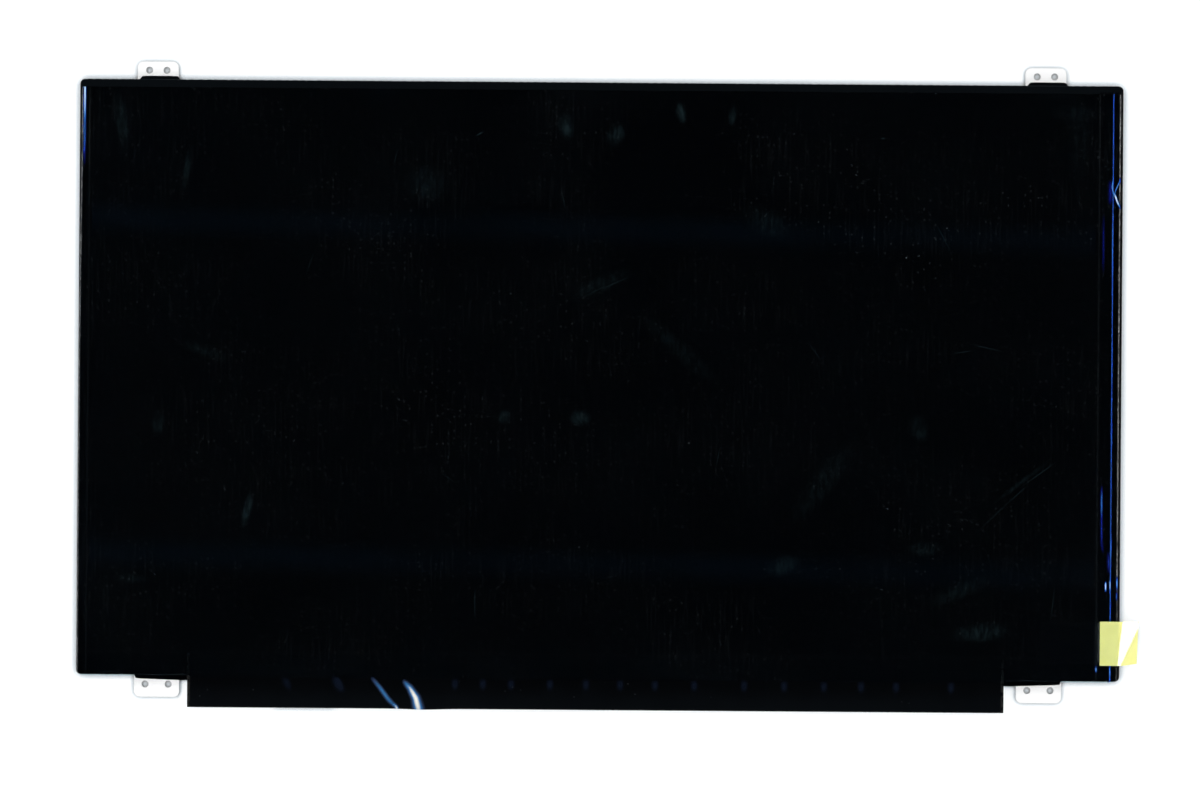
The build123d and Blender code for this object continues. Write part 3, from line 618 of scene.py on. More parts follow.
@dataclass(frozen=True)
class ClearFilm:
    """Clear plastic film whose dust and rubbed bands scatter a little light.

    The haze is the share of the surface that scatters; the rest lets light through. Along folds the haze also carries
    a painted highlight.
    """

    name: str
    even: float = 0.0003
    dust: float = 0.019
    rough: float = 0.02
    gloss: Colour = (0.03, 0.15, 0.45)
    grey: Colour = (0.78, 0.93, 1.0)
    cut: Colour = (0.9, 0.92, 0.93)
    folds: PaintedFoldHighlight = PaintedFoldHighlight()

    def dust_on(self, d: Draft) -> Socket:
        """Fine specks everywhere, fewer coarse ones, and short upright rub marks.

        Args:
            d: the material's tree.

        Returns:
            The haze that they add.
        """
        patchy = d.fit(d.noise(d.spread((22, 26, 1)), 1.0, flat=True), (0.34, 0.66), (0.25, 1.0))
        fine, fine_pick = d.cells(d.spread((520, 420, 1)), flat=True)
        fine = d.sums("MULTIPLY", d.fit(fine, (0.24, 0.05)), d.fit(d.part(fine_pick, "X"), (0.62, 1.0)))
        coarse, coarse_pick = d.cells(d.spread((160, 140, 1)), flat=True)
        coarse = d.sums("MULTIPLY", d.fit(coarse, (0.05, 0.018)), d.fit(d.part(coarse_pick, "Y"), (0.72, 1.0)))
        rubs = d.fit(d.noise(d.spread((1500, 70, 1)), 1.0, 0.6, flat=True), (0.55, 0.75))
        fine = d.sums("MULTIPLY", d.sums("MULTIPLY", fine, patchy), 0.45 * self.dust)
        rubs = d.sums("MULTIPLY", d.sums("MULTIPLY", rubs, patchy), 0.07 * self.dust)
        return d.total(fine, rubs, d.sums("MULTIPLY", coarse, self.dust))

    def make(self) -> Material:
        """Builds the finish.

        The mesh attribute "frost" says where a cut or scuffed edge scatters, and "fold" how strong a painted highlight
        along a fold is, from blue to white.

        Returns:
            The material.
        """
        d = Draft(self.name)
        cloud = d.noise(d.spread((18, 22, 1)), 1.0, flat=True)
        chips = d.noise(d.spread((1400, 900, 1)), 1.0, flat=True)
        frost = d.sums("MULTIPLY", d.attribute("frost"), d.fit(chips, (0.34, 0.6), (0.35, 1.0)))
        fold = d.attribute("fold")
        haze = d.total(
            d.fit(cloud, (0.3, 0.7), (0.7 * self.even, 1.3 * self.even)),
            self.dust_on(d),
            frost,
            fold,
        )
        tone = d.tint(d.fit(frost, (0.002, 0.03)), self.grey, self.cut)
        # Painted highlight along folds, blue to white, laid over the haze colour.
        tone = self.folds.over(d, tone, fold)
        d.set(base_color=tone, roughness=self.rough, ior=1.5)
        d.set(transmission_weight=d.sums("SUBTRACT", 1.0, haze), specular_tint=(*self.gloss, 1.0))
        return d.material


@dataclass(frozen=True)
class SmudgeHaze:
    """Thin haze of a smudge or scratch; it hides what lies below it only by a small share."""

    name: str
    colour: Colour = (0.42, 0.82, 0.95)
    rubbed: Colour = (0.1, 0.5, 1.0)

    def make(self) -> Material:
        """Builds the finish.

        The mesh attribute "smear" is a haze broken up by streaks, "line" an even one, and "band" a bluish one.

        Returns:
            The material.
        """
        d = Draft(self.name)
        streaky = d.fit(d.noise(d.spread((700, 240, 1)), 4.0, 0.65, flat=True), (0.34, 0.7), (0.2, 0.9))
        band = d.attribute("band")
        haze = d.total(d.sums("MULTIPLY", d.attribute("smear"), streaky), d.attribute("line"), band)
        tone = d.tint(streaky, tuple(0.9 * c for c in self.colour), self.colour)
        d.set(base_color=d.tint(d.fit(band, (0.0, 0.0001)), tone, self.rubbed), alpha=haze)
        d.set(roughness=0.9, specular_ior_level=0.0)
        return d.material


@dataclass(frozen=True)
class TabFilm:
    """Glossy yellow tab film, a little uneven in tone, with faint pressed fibres; painted lighter where it hangs past
    the panel.
    """

    name: str
    colour: Colour
    painted_backlit_colour: Colour = (1.0, 0.985, 0.34)
    rough: float = 0.2

    def make(self) -> Material:
        """Builds the finish; the mesh attribute "open" says where nothing dark lies behind the film, and there it is
        painted lighter, standing in for floor light shining through it.

        Returns:
            The material.
        """
        d = Draft(self.name)
        cloud = d.noise(d.spread((150, 150, 150)), 3.0)
        fibre = d.noise(d.spread((700, 3000, 700), turn=8), 2.0)
        tone = d.tint(d.fit(cloud, (0.3, 0.7)), tuple(0.95 * c for c in self.colour), self.colour)
        tone = d.tint(d.fit(fibre, (0.55, 0.8), (0.0, 0.1)), tone, (0.9, 0.9, 0.6))
        # Painted light: lighter where the tab hangs past the panel, standing in for floor light shining through it.
        tone = d.tint(d.attribute("open"), tone, self.painted_backlit_colour)
        d.set(base_color=tone, roughness=d.fit(cloud, (0.3, 0.7), (self.rough - 0.03, self.rough + 0.03)))
        d.set(coat_weight=1.0, coat_roughness=0.1, coat_ior=1.9, subsurface_weight=0.25, subsurface_scale=0.0004)
        d.set(subsurface_radius=(1.0, 1.0, 0.4))
        d.emboss(fibre, 3e-6, 0.2)
        return d.material


def eased(values: np.ndarray, low: float, high: float) -> np.ndarray:
    """Smooth step of an array, 0 at low and 1 at high; low may be the larger.

    Args:
        values: the numbers to read.
        low: where the step starts.
        high: where it ends.

    Returns:
        The steps, of the same shape.
    """
    share = np.clip((values - low) / (high - low), 0.0, 1.0)
    return share * share * (3.0 - 2.0 * share)


def bell(values: np.ndarray, middle: float, width: float) -> np.ndarray:
    """Bell curve of height 1, by its middle and its standard width."""
    return np.exp(-0.5 * ((values - middle) / width) ** 2)


def waver(values: np.ndarray, length: float, phase: float = 0.0) -> np.ndarray:
    """Irregular wave between about -1 and 1 along a line.

    Args:
        values: places along the line, in millimetres.
        length: the longest wave, in millimetres.
        phase: sets one wave apart from another.

    Returns:
        The wave at those places.
    """
    turn = 2.0 * math.pi * values / length
    waves = ((0.5, 1.0, 1.0), (0.3, 2.31, 2.1), (0.2, 4.87, 0.7))
    return sum(height * np.sin(times * turn + shift * phase) for height, times, shift in waves)


def stations(start: float, end: float, step: float, zones: Sequence[tuple[float, float, float]] = ()) -> np.ndarray:
    """Places along a line, closer together in some zones.

    Args:
        start: the first place, in millimetres.
        end: the last place.
        step: the usual step.
        zones: each zone's start, end and step.

    Returns:
        The places, rising.
    """
    cuts = sorted({start, end, *(c for low, high, _ in zones for c in (low, high) if start < c < end)})
    places = [start]
    for low, high in zip(cuts, cuts[1:]):
        middle = (low + high) / 2
        size = min([step] + [fine for a, b, fine in zones if a <= middle <= b])
        count = max(1, round((high - low) / size))
        places.extend(low + (high - low) * i / count for i in range(1, count + 1))
    return np.array(places)


class Patch(NamedTuple):
    """One closed sheet of a piece: its two faces as grids of points, and numbers for the material to read."""

    front: np.ndarray
    rear: np.ndarray
    marks: dict[str, np.ndarray] = {}

    def faces(self) -> np.ndarray:
        """Corners of the patch's quads: the front, the rear and the wall round the rim.

        Returns:
            Point numbers, four to a row, turned outwards.
        """
        rows, columns = self.front.shape[:2]
        count = rows * columns
        at = np.arange(count).reshape(rows, columns)
        quads = np.stack([at[:-1, :-1], at[:-1, 1:], at[1:, 1:], at[1:, :-1]], -1).reshape(-1, 4)
        rim = np.concatenate([at[0, :-1], at[:-1, -1], at[-1, :0:-1], at[:0:-1, 0]])
        after = np.roll(rim, -1)
        walls = np.stack([rim, rim + count, after + count, after], -1)
        found = np.concatenate([quads, quads[:, ::-1] + count, walls])
        points = self.front.reshape(-1, 3)
        facing = np.cross(points[quads[:, 1]] - points[quads[:, 0]], points[quads[:, 3]] - points[quads[:, 0]])
        outward = (self.front - self.rear).reshape(-1, 3)[quads[:, 0]]
        return found if float((facing * outward).sum()) > 0 else found[:, ::-1]


def sheet_piece(name: str, patches: Sequence[Patch], sharp: float = 50.0) -> Piece:
    """Makes one object of closed sheets, smooth on their faces and sharp round their rims.

    Args:
        name: the piece's name.
        patches: the sheets, in millimetres.
        sharp: edges that turn by more than this, in degrees, stay sharp.

    Returns:
        The new object.
    """
    keys = sorted({key for patch in patches for key in patch.marks})
    points, faces, marks, count = [], [], {key: [] for key in keys}, 0
    for patch in patches:
        both = [patch.front.reshape(-1, 3), patch.rear.reshape(-1, 3)]
        points.extend(both)
        faces.append(patch.faces() + count)
        count += 2 * len(both[0])
        for key in keys:
            marks[key].append(np.tile(patch.marks.get(key, np.zeros(patch.front.shape[:2])).ravel(), 2))
    mesh = bpy.data.meshes.new(name)
    mesh.from_pydata((np.concatenate(points) * MM).tolist(), [], np.concatenate(faces).tolist())
    for key in keys:
        values = np.concatenate(marks[key]).astype(np.float32)
        mesh.attributes.new(key, "FLOAT", "POINT").data.foreach_set("value", values)
    mesh.polygons.foreach_set("use_smooth", [True] * len(mesh.polygons))
    mesh.update()
    mesh.set_sharp_from_angle(angle=math.radians(sharp))
    piece = bpy.data.objects.new(name, mesh)
    bpy.context.scene.collection.objects.link(piece)
    return piece


def layered(x: np.ndarray, y: np.ndarray, low: np.ndarray, thickness: float) -> tuple[np.ndarray, np.ndarray]:
    """Front and rear points of a nearly flat sheet.

    Args:
        x: places across, rows by columns.
        y: places up, rows by columns.
        low: heights of the rear face.
        thickness: the sheet's thickness.

    Returns:
        The front and the rear points.
    """
    return np.stack([x, y, low + thickness], -1), np.stack([x, y, low], -1)


def settle(
    piece: Piece, slot: str, finishes: Sequence[Material], *nodes: str
) -> Piece:
    """Dresses a finished piece, sets it on the panel and lets it stand for its CAD nodes.

    Args:
        piece: the finished mesh object.
        slot: the record's material slot; not used.
        finishes: the materials, in the order of the mesh's slots.
        nodes: the CAD nodes that it replaces.

    Returns:
        The same object.
    """
    if not piece.data.materials:
        for finish in finishes:
            piece.data.materials.append(finish)
    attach(piece, "root")
    if nodes:
        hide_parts(*nodes)
    log.info("%s: %d faces", piece.name, len(piece.data.polygons))
    return piece


@dataclass(frozen=True)
class Crease:
    """A raised fold in a film along a bent line, steeper on its right than on its left if lean is above 1."""

    path: tuple[Point, ...]
    height: float
    width: float
    lean: float = 1.0
    flare: float = 1.0
    open_end: bool = False
    # Strength of the painted highlight along the fold.
    haze: float = 0.0

    def lift(self, x: np.ndarray, y: np.ndarray) -> np.ndarray:
        """Height that the fold adds at each place."""
        return self.height * self.trace(x, y)

    def trace(self, x: np.ndarray, y: np.ndarray) -> np.ndarray:
        """How near each place is to the fold's crest, from 0 to 1.

        Args:
            x: places across.
            y: places up.

        Returns:
            The shares, of the same shape.
        """
        best = np.full(x.shape, 1e9)
        side = np.ones(x.shape)
        along = np.zeros(x.shape)
        lengths = [math.dist(a, b) for a, b in zip(self.path, self.path[1:])]
        total, done = sum(lengths), 0.0
        for (ax, ay), (bx, by), length in zip(self.path, self.path[1:], lengths):
            ux, uy = (bx - ax) / length, (by - ay) / length
            share = np.clip((x - ax) * ux + (y - ay) * uy, 0.0, length)
            away = np.hypot(x - ax - share * ux, y - ay - share * uy)
            nearer = away < best
            best = np.where(nearer, away, best)
            side = np.where(nearer, np.sign((y - ay) * ux - (x - ax) * uy), side)
            along = np.where(nearer, (done + share) / total, along)
            done += length
        width = self.width * (1.0 + (self.flare - 1.0) * along) * np.where(side > 0, 1.0, self.lean)
        fade = np.sin(math.pi * np.clip(along * (0.5 if self.open_end else 1.0), 0.0, 1.0)) ** 0.6
        return fade * np.exp(-0.5 * (best / width) ** 2)


@dataclass
class ProtectiveFilm:
    """The clear film over the face, with the tape and tab that pull it off."""

    left_top: float = -179.1
    left_low: float = -179.68
    right: float = 178.95
    bottom: float = -103.0
    top: float = 99.8
    corner: float = 1.7
    thickness: float = 0.07
    lift: float = 0.02
    face: float = 3.02
    tape_front: float = 2.90
    raised: float = 0.08
    polariser_x: float = 176.3
    polariser_low: float = -94.94
    wide_tape_x: float = 171.75
    ridge_x: float = 175.55
    ridge_height: float = 0.04
    ridge_width: float = 0.25
    drop: Span = (176.2, 176.6)
    pressed: Span = (-97.2, -81.8)
    right_cut: float = 0.17
    left_cut: float = 0.12
    tape_line: float = 0.005
    left_line: float = 0.0024
    left_scuff: float = 0.005
    scuff_y: float = 86.0
    low_line: float = 0.0007
    worn_x: float = 177.9
    worn: float = 0.003
    # Raised folds; each one's haze paints a blue-to-white highlight along it.
    creases: tuple[Crease, ...] = (
        Crease(((179.2, 71.2), (177.9, 68.2), (177.2, 66.5), (176.9, 64.8)), 0.1, 0.17, haze=0.42),
        Crease(((176.5, 66.6), (177.2, 64.6), (177.8, 62.9), (179.0, 60.4)), 0.12, 0.2, haze=0.95),
        Crease(((176.4, 71.4), (176.0, 67.9), (176.5, 65.5), (177.3, 64.0)), 0.1, 0.17, haze=0.45),
        Crease(((175.35, 70.4), (175.5, 66.2), (175.4, 61.4)), 0.08, 0.5, haze=0.075),
        Crease(((173.15, 58.8), (173.2, 49.6), (173.2, 38.0)), 0.08, 0.28, haze=0.055),
        Crease(((176.3, 700.0), (176.37, 100.0), (176.44, -102.4)), 0.06, 0.14, haze=0.21, open_end=True),
        Crease(((176.35, 64.6), (176.35, 46.0), (176.37, 27.0)), 0.1, 0.18, haze=0.28),
        Crease(((176.42, -12.0), (176.43, -26.0)), 0.1, 0.18, haze=0.25),
        Crease(((173.15, -35.0), (173.2, -41.0), (173.22, -47.6)), 0.12, 0.25, haze=0.26),
        Crease(((173.2, -42.0), (173.26, -50.0), (173.3, -55.0), (174.1, -58.8)), 0.1, 0.27, haze=0.12),
        Crease(((176.5, -50.5), (176.47, -62.5)), 0.1, 0.18, haze=0.35),
        Crease(((175.7, -57.8), (175.94, -65.4)), 0.1, 0.4, haze=0.12),
        Crease(((176.3, -66.8), (176.34, -72.0)), 0.12, 0.18, haze=0.6),
        Crease(((174.78, -67.9), (174.82, -71.7)), 0.12, 0.2, haze=0.85),
        Crease(((178.7, -66.6), (178.75, -71.0)), 0.1, 0.2, haze=0.5),
        Crease(((178.55, -71.8), (178.55, -74.6)), 0.1, 0.18, haze=0.3),
        Crease(((176.44, -96.5), (176.44, -102.4)), 0.1, 0.18, haze=0.4),
        Crease(((171.66, -97.2), (171.72, -99.6)), 0.1, 0.2, haze=0.5),
        Crease(((-178.12, 112.0), (-178.1, 96.0), (-178.08, 85.0)), 0.2, 0.25, haze=0.8),
        Crease(((-178.1, 104.0), (-178.08, 88.0), (-178.06, 72.5)), 0.2, 0.24, haze=0.24),
    )

    def low(self, x: np.ndarray, y: np.ndarray) -> np.ndarray:
        """Height of the film's rear face at each place.

        Args:
            x: places across.
            y: places up.

        Returns:
            The heights, of the same shape.
        """
        z = np.full(x.shape, self.face + self.lift)
        z -= (self.face - self.tape_front) * (1.0 - eased(x, -self.polariser_x - 2.4, -self.polariser_x))
        z += self.raised * eased(x, self.wide_tape_x - 1.0, self.wide_tape_x - 0.1)
        z -= (self.face + self.raised - self.tape_front) * eased(x, *self.drop)
        low, high = self.pressed
        free = 1.0 - eased(y, low - 0.7, low) * (1.0 - eased(y, high, high + 0.7))
        ridge = self.ridge_height * (0.86 + 0.14 * waver(y, 43.0, 1.3))
        folds = ridge * bell(x, self.ridge_x, self.ridge_width)
        for crease in self.creases:
            folds = np.maximum(folds, crease.lift(x, y))
        return z + free * folds

    def frost(self, x: np.ndarray, y: np.ndarray, across: np.ndarray) -> np.ndarray:
        """How much each place scatters: the cut edges and the faint lines over the edges below.

        Args:
            x: places across, before the left edge is set out of square.
            y: places up.
            across: places across as built.

        Returns:
            The shares, of the same shape.
        """
        right_cut = self.right_cut * eased(x, self.right - 0.5, self.right - 0.3) * (0.72 + 0.4 * waver(y, 17.0, 0.4))
        right_cut *= 0.25 + 0.75 * eased(y, -84.0, -58.0)
        left_cut = self.left_cut * eased(x, self.left_top + 0.5, self.left_top + 0.2)
        left_cut *= 0.8 + 0.3 * waver(y, 23.0, 2.0)
        lines = self.tape_line * bell(across, self.wide_tape_x - 0.05, 0.2)
        scuffed = self.left_line + self.left_scuff * bell(y, self.scuff_y, 9.0)
        lines += scuffed * bell(across, -0.1 - self.polariser_x, 0.2)
        lines += self.low_line * bell(y, self.polariser_low + 0.2, 0.3)
        lines += self.worn * bell(across, self.worn_x, 0.5) * np.clip(waver(y, 9.0, 0.9), 0.0, 1.0)
        return np.clip(right_cut, 0, 1) + np.clip(left_cut, 0, 1) + lines

    def folded(self, x: np.ndarray, y: np.ndarray) -> np.ndarray:
        """Strength at each place of the painted highlights along the folds."""
        return np.max([crease.haze * crease.trace(x, y) ** 2 for crease in self.creases], axis=0)

    def build(self, finish: Material) -> Piece:
        """Makes the film.

        Args:
            finish: its material.

        Returns:
            The film's object.
        """
        fine_x = [(-180.0, -174.8, 0.13), (170.4, 180.0, 0.13), (175.9, 177.4, 0.07)]
        fine_y = [(58.0, 72.0, 0.2), (72.0, 99.8, 1.0), (-103.0, -95.0, 0.3), (-95.0, -79.0, 0.7), (-79.0, -56.0, 0.4)]
        x, y = np.meshgrid(
            stations(self.left_top, self.right, 5.0, fine_x), stations(self.bottom, self.top, 1.9, fine_y)
        )
        out_of_square = (self.left_low - self.left_top) * eased(y, 92.0, -8.0)
        across = x + out_of_square * (1.0 - eased(x, self.left_top, self.left_top + 2.0))
        into = np.clip(self.corner - (y - self.bottom), 0.0, self.corner)
        drawn_in = self.corner - np.sqrt(self.corner**2 - into**2)
        across -= np.sign(x) * drawn_in * eased(np.abs(x), self.right - 9.0, self.right)
        front, rear = layered(across, y, self.low(across, y), self.thickness)
        # fold carries the painted highlights along the creases.
        marks = {"frost": self.frost(x, y, across), "fold": self.folded(across, y)}
        piece = sheet_piece("clear_protective_film", [Patch(front, rear, marks)])
        return settle(piece, "clear_film", [finish], "protective_film")

    def front(self, x: np.ndarray, y: np.ndarray) -> np.ndarray:
        """Height of the film's front face at each place."""
        return self.low(x, y) + self.thickness


@dataclass
class FilmMarks:
    """Smudges, scratches and two rubbed bands on the protective film, as thin flat patches that lie on it."""

    gap: float = 0.002
    thickness: float = 0.002
    bands: tuple[float, ...] = (52.0, -63.5)
    band_span: Span = (-175.5, 170.5)
    band_width: float = 3.2
    band_slope: float = 0.016
    band_haze: float = 0.0009
    smudges: tuple[Mark, ...] = SMUDGES
    hairlines: tuple[Mark, ...] = HAIRLINES

    def patch(self, mark: Mark, film: ProtectiveFilm, key: str, columns: int, rows: int) -> Patch:
        """One mark, hazy in its middle and clear at its rim.

        Args:
            mark: where it lies.
            film: what it lies on.
            key: the attribute that carries its haze.
            columns: points along its first axis.
            rows: points along its second axis.

        Returns:
            The patch.
        """
        u, v = np.meshgrid(np.linspace(-1.3, 1.3, columns), np.linspace(-1.3, 1.3, rows))
        turn = math.radians(mark.turn)
        x = mark.at[0] + mark.reach[0] * u * math.cos(turn) - mark.reach[1] * v * math.sin(turn)
        y = mark.at[1] + mark.reach[0] * u * math.sin(turn) + mark.reach[1] * v * math.cos(turn)
        haze = mark.haze * eased(np.hypot(u, v), 1.25, 0.15)
        return Patch(*layered(x, y, film.front(x, y) + self.gap, self.thickness), {key: haze})

    def stripe(self, height: float, film: ProtectiveFilm) -> Patch:
        """One rubbed band across the face, over the other marks.

        Args:
            height: where it crosses the panel's middle.
            film: what it lies on.

        Returns:
            The patch.
        """
        x, v = np.meshgrid(np.linspace(*self.band_span, 121), np.linspace(-2.6, 2.6, 17))
        y = height - self.band_slope * x + self.band_width * v
        haze = self.band_haze * (0.75 + 0.25 * waver(x + 3.0 * y, 160.0, 0.8))
        haze *= bell(v, 0.0, 1.0) * eased(np.abs(v), 2.6, 1.6)
        low = film.front(x, y) + 2 * self.gap + self.thickness
        return Patch(*layered(x, y, low, self.thickness), {"band": haze})

    def build(self, film: ProtectiveFilm, finish: Material) -> Piece:
        """Makes all the marks as one piece.

        Args:
            film: what they lie on.
            finish: their material.

        Returns:
            The piece's object.
        """
        patches = [self.patch(mark, film, "smear", 17, 17) for mark in self.smudges]
        patches.extend(self.patch(mark, film, "line", 15, 15) for mark in self.hairlines)
        patches.extend(self.stripe(height, film) for height in self.bands)
        return settle(sheet_piece("film_smudges", patches), "clear_film", [finish])


@dataclass
class PullTape:
    """Clear tape on the protective film that carries the tab."""

    left: float = 152.7
    right: float = 176.0
    bottom: float = -96.35
    top: float = -82.35
    thickness: float = 0.05
    lift: float = 0.01
    rim: float = 0.8
    rim_frost: float = 0.0016
    end: Span = (170.7, 171.5)
    end_frost: float = 0.005
    line_x: float = 172.5
    line_frost: float = 0.024

    def build(self, film: ProtectiveFilm, finish: Material) -> Piece:
        """Makes the tape on the film.

        Args:
            film: what it is stuck on.
            finish: its material.

        Returns:
            The tape's object.
        """
        rims = (self.bottom, self.top - self.rim)
        x, y = np.meshgrid(
            stations(self.left, self.right, 1.0, [(self.left, self.left + 1, 0.2), (170.0, 174.0, 0.15)]),
            stations(self.bottom, self.top, self.rim, [(c, c + self.rim, 0.2) for c in rims]),
        )
        inward = np.minimum(np.minimum(y - self.bottom, self.top - y), x - self.left)
        frost = self.rim_frost * (1.0 - eased(inward, 0.05, 0.45))
        frost += self.end_frost * eased(x, *self.end) * (0.8 + 0.4 * waver(y, 5.0, 0.3))
        frost += self.line_frost * bell(x, self.line_x, 0.14)
        low = film.front(x, y) + self.lift
        front, rear = layered(x, y, low, self.thickness)
        piece = sheet_piece("clear_pull_tape", [Patch(front, rear, {"frost": np.clip(frost, 0, 1)})])
        return settle(piece, "clear_film", [finish], "pull_tape")


@dataclass
class PullTab:
    """Yellow tab on the end of the pull tape, bent down past the panel's edge; its lower corner lifts again."""

    left: float = 172.95
    bottom: float = -97.1
    top: float = -81.9
    base: float = 3.26
    thickness: float = 0.1
    flat_top: float = 7.3
    flat_low: float = 5.6
    length: float = 13.78
    slant: float = 0.75
    bend: float = 19.6
    bend_run: float = 0.7
    hold_top: float = 6.3
    hold_low: float = 0.35
    ease: float = 0.8
    lifted: float = 11.0
    skew: float = 0.7
    panel_edge: Span = (178.9, 180.3)

    def build(self, finish: Material) -> Piece:
        """Makes the tab by rolling a flat strip along its bend.

        Args:
            finish: its material.

        Returns:
            The tab's object.
        """
        share = np.linspace(0.0, 1.0, 33)
        run = stations(0.0, self.length, 0.2)
        down = 1.0 - share[:, None]
        s = run[None, :] / self.length * (self.length - self.slant * down)
        past = np.maximum(s - (self.flat_top + (self.flat_low - self.flat_top) * down), 0.0)
        hold = self.hold_top + (self.hold_low - self.hold_top) * down
        back = (self.bend - self.lifted) * np.clip((past - self.bend_run - hold) / self.ease, 0.0, 1.0)
        tilt = np.radians(self.bend * eased(past, 0.0, self.bend_run) - back)
        step = np.diff(s, axis=1)
        middle = (tilt[:, 1:] + tilt[:, :-1]) / 2
        still = np.zeros((len(share), 1))
        x = self.left + np.concatenate([still, np.cumsum(step * np.cos(middle), 1)], 1)
        z = self.base - np.concatenate([still, np.cumsum(step * np.sin(middle), 1)], 1)
        y = self.bottom + (self.top - self.bottom) * share[:, None]
        y = y + self.skew * down * eased(s, self.flat_top, self.length)
        rear = np.stack([x, y, z], -1)
        front = rear + self.thickness * np.stack([np.sin(tilt), np.zeros_like(tilt), np.cos(tilt)], -1)
        # open marks where the tab hangs past the panel; the finish paints it lighter there, standing in for light from
        # the floor through it.
        piece = sheet_piece("yellow_pull_tab", [Patch(front, rear, {"open": eased(x, *self.panel_edge)})])
        return settle(piece, "tab_yellow", [finish], "pull_tab")


class Side(Enum):
    """An edge of the panel, as the way out across it."""

    LEFT = (-1, 0)
    RIGHT = (1, 0)
    TOP = (0, 1)
    BOTTOM = (0, -1)

    def place(self, along: np.ndarray, out: np.ndarray, high: np.ndarray) -> np.ndarray:
        """Points by their place along the edge, their distance out from the middle and their height.

        Args:
            along: places along the edge, towards +X or +Y.
            out: distances out from the panel's middle.
            high: heights.

        Returns:
            The points, with three coordinates last.
        """
        across, up = self.value
        if across:
            return np.stack([across * out, along, high], -1)
        return np.stack([along, up * out, high], -1)


@dataclass(frozen=True)
class Tail:
    """End of a tape folded out on an ear: its near and far edges along the panel's edge, and their reach."""

    near: Span
    far: Span
    reach: Span


